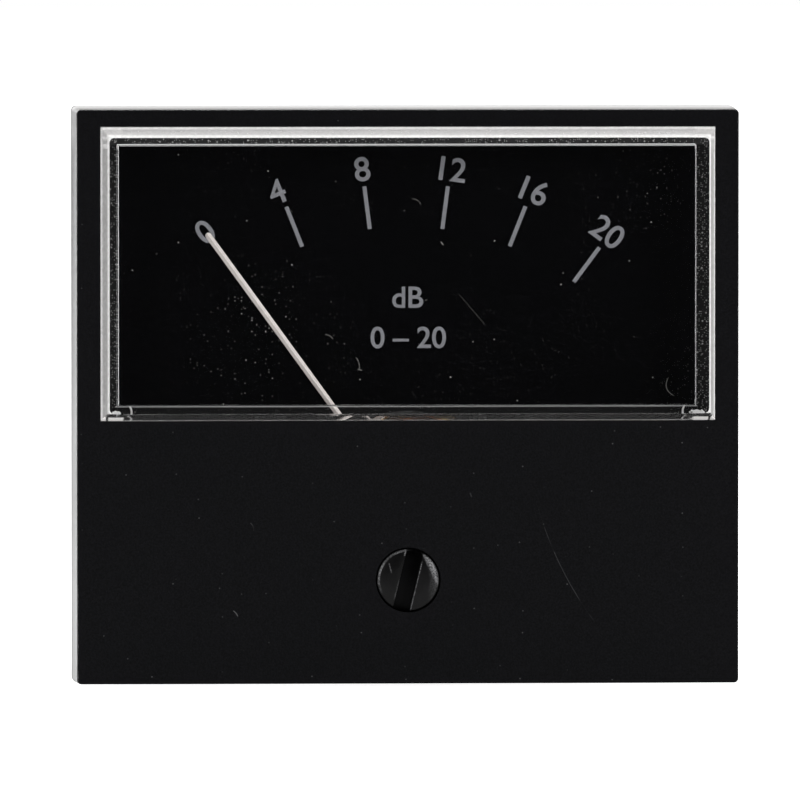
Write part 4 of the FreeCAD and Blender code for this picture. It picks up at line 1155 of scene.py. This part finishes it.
rods = {
    "sides": 24,
    "ringsPerTurn": 12,
    "studs": {
        "node": "mounting_studs",
        "slot": "plated_steel",
        "places": [(x, z) for x in (-25, 25) for z in (-21, 21)],
        "profile": [(2.4, -2), (2.4, -1), (1.8, -1), (1.8, 0), (1.5, 0), (1.5, 9.6), (1.1, 10)],
        "thread": (0.3, 1.5),  # where it starts and the radius of its crest
        "pitch": 0.5,
        "depth": 0.27,
    },
    "terminals": {
        "node": "terminals",
        "slot": "nickel_brass",
        "places": [(-9.5, 6), (9.5, 6)],
        "profile": [(1.8, 18.6), (1.8, 26.6), (2.0, 26.6), (2.0, 30.6), (1.6, 31)],
        "thread": (26.7, 2.0),
        "pitch": 0.7,
        "depth": 0.36,
    },
}
nuts = {
    "places": [(x, 6, y) for x in (-9.5, 9.5) for y in (21.3, 24.2)],
    "height": 2.4,
    "flats": 7.0,
    "bore": 1.86,
    "lead": 0.3,
    "faceShare": 0.94,
    "chamfer": 30,
    "stepsPerFlat": 8,
}


def latheRod(bm, layers, place, rod):
    # a turned rod with rings close together along its thread, each marked with how far along it is
    along, spare, axis = layers
    start, crest = rod["thread"]
    points = []
    for (radius, y), (nextRadius, nextY) in zip(rod["profile"], rod["profile"][1:]):
        cuts = [y, nextY]
        if y < start < nextY:
            cuts.insert(1, start)
        for first, second in zip(cuts, cuts[1:]):
            threaded = first >= start and second > first
            steps = math.ceil((second - first) / rod["pitch"] * rods["ringsPerTurn"]) if threaded else 1
            for step in range(steps):
                here = first + (second - first) * step / steps
                part = (here - y) / (nextY - y) if nextY > y else 0
                points.append((radius + (nextRadius - radius) * part, here))
    points.append(rod["profile"][-1])
    loops = []
    for radius, y in points:
        loop = makeLoop(bm, circle(radius, place, y, rods["sides"]))
        for v in loop:
            v[along] = (y - start) * mm if y >= start else -1.0
            v[spare] = (crest - radius) * mm
            v[axis] = Vector((place[0], 0, place[1])) * mm
        loops.append(loop)
    for first, second in zip(loops, loops[1:]):
        joinLoops(bm, first, second)
    for loop in (loops[0], loops[-1]):
        bm.faces.new(loop)


def cutThreads(mesh, rod, material):
    # sinks a helical groove into the marked rings, deeper by the turn up to its full depth
    sizes = {"Pitch": rod["pitch"] * mm, "Depth": rod["depth"] * mm}
    group, given, identifiers = newGroup("threads", sizes)
    along = attribute(group, "along")
    place = addNode(group, "GeometryNodeInputPosition").outputs[0]
    centre = attribute(group, "axis", "FLOAT_VECTOR")
    away = addNode(group, "ShaderNodeVectorMath", {0: place, 1: centre}, operation="SUBTRACT")
    axes = addNode(group, "ShaderNodeSeparateXYZ", {0: away.outputs[0]}).outputs
    x, z = axes["X"], axes["Z"]
    turns = combine(group, "DIVIDE", combine(group, "ARCTAN2", x, z), math.tau)
    risen = combine(group, "DIVIDE", along, given["Pitch"])
    phase = combine(group, "FRACT", minus(group, risen, turns))
    wave = combine(group, "ABSOLUTE", minus(group, times(group, phase, 2), 1))
    groove = times(group, ramp(group, wave, 0.12, 0.88), ramp(group, risen, 0, 1))
    sunk = minus(group, times(group, groove, given["Depth"]), attribute(group, "spare"))
    sunk = times(group, larger(group, sunk, 0), -1)
    flat = vector(group, x, 0.0, z)
    outwards = addNode(group, "ShaderNodeVectorMath", {0: flat}, operation="NORMALIZE")
    scaling = {0: outwards.outputs[0], "Scale": sunk}
    scaled = addNode(group, "ShaderNodeVectorMath", scaling, operation="SCALE")
    inputs = {
        "Geometry": given["Geometry"],
        "Selection": combine(group, "GREATER_THAN", along, -0.5),
        "Offset": scaled.outputs[0],
    }
    move = addNode(group, "GeometryNodeSetPosition", inputs)
    return grown("threads", mesh, group, identifiers, move.outputs[0], material)


def hexBlock(bm, x, z, y, height, bore=None):
    # a chamfered hexagon with a corner upwards, bored through or solid
    end = y + height
    half = nuts["flats"] / 2
    face = half * nuts["faceShare"]
    count = 6 * nuts["stepsPerFlat"]
    slant = math.tan(math.radians(nuts["chamfer"]))
    rings = []

    def ring(radius, depth, side):
        points = []
        for i in range(count):
            angle = math.radians(360 * i / count)
            offFlat = math.radians(360 * i / count % 60 - 30)
            reach = half / math.cos(offFlat) if radius is None else radius
            drop = (reach - face) * slant if radius is None else depth
            level = y + drop if side < 0 else end - drop
            points.append(Vector((x + reach * math.sin(angle), level, z + reach * math.cos(angle))) * mm)
        rings.append(makeLoop(bm, points))

    for side in (-1, 1):
        inner = [] if bore is None else [(bore, nuts["lead"]), (bore + nuts["lead"], 0)]
        for radius, depth in (inner + [(face, 0), (None, 0)])[::-side]:
            ring(radius, depth, side)
    for first, second in zip(rings, rings[1:]):
        joinLoops(bm, first, second)
    if bore is None:
        bm.faces.new(rings[0])
        bm.faces.new(rings[-1])
    else:
        joinLoops(bm, rings[-1], rings[0])


def makeRods(name):
    rod = rods[name]
    bm = bmesh.new()
    layers = (
        bm.verts.layers.float.new("along"),
        bm.verts.layers.float.new("spare"),
        bm.verts.layers.float_vector.new("axis"),
    )
    for place in rod["places"]:
        latheRod(bm, layers, place, rod)
    plain = finishMesh(bm, name, [])
    grooved = cutThreads(plain, rod, finishes[rod["slot"]])
    bm = bmesh.new()
    bm.from_mesh(grooved)
    if name == "terminals":
        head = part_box("terminals")[0].y / mm
        for x, z in rod["places"]:
            hexBlock(bm, x, z, head, nuts["height"])
    for face in bm.faces:
        face.material_index = 0
    mesh = finishMesh(bm, name + "Threaded", [finishes[rod["slot"]]], 40)
    addPiece(name + "Threaded", mesh, "case", rod["slot"], rod["node"])


def makeNuts():
    bm = bmesh.new()
    for x, z, y in nuts["places"]:
        hexBlock(bm, x, z, y, nuts["height"], nuts["bore"])
    mesh = finishMesh(bm, "terminalNutsChamfered", [finishes["nickel_brass"]], 25)
    addPiece("terminalNutsChamfered", mesh, "case", "nickel_brass", "terminal_nuts")


makeRods("studs")
makeRods("terminals")
makeNuts()
washers = bevelled("terminal_washers", 0.12)
addPiece("washersRounded", washers, "case", "plated_steel", "terminal_washers")
addPiece("tagsRounded", bevelled("solder_tags", 0.08), "case", "nickel_brass", "solder_tags")
print("studs and terminals threaded")

caseSize = {"edge": 0.35, "halfWidth": 29.5, "halfHeight": 25.5, "barrel": 22, "barrelDrop": 1.5}


def caseEdges(middle):
    # the flange's rear edge and the root of the barrel
    onRear = abs(middle.y) < 0.01
    outside = abs(middle.x) > caseSize["halfWidth"] or abs(middle.z) > caseSize["halfHeight"]
    away = math.hypot(middle.x, middle.z + caseSize["barrelDrop"])
    return onRear and (outside or abs(away - caseSize["barrel"]) < 0.2)


rounded = bevelled("rear_case", caseSize["edge"], 35, 4, caseEdges)
addPiece("caseRounded", rounded, "case", "case_black", "rear_case")
print("case rounded")
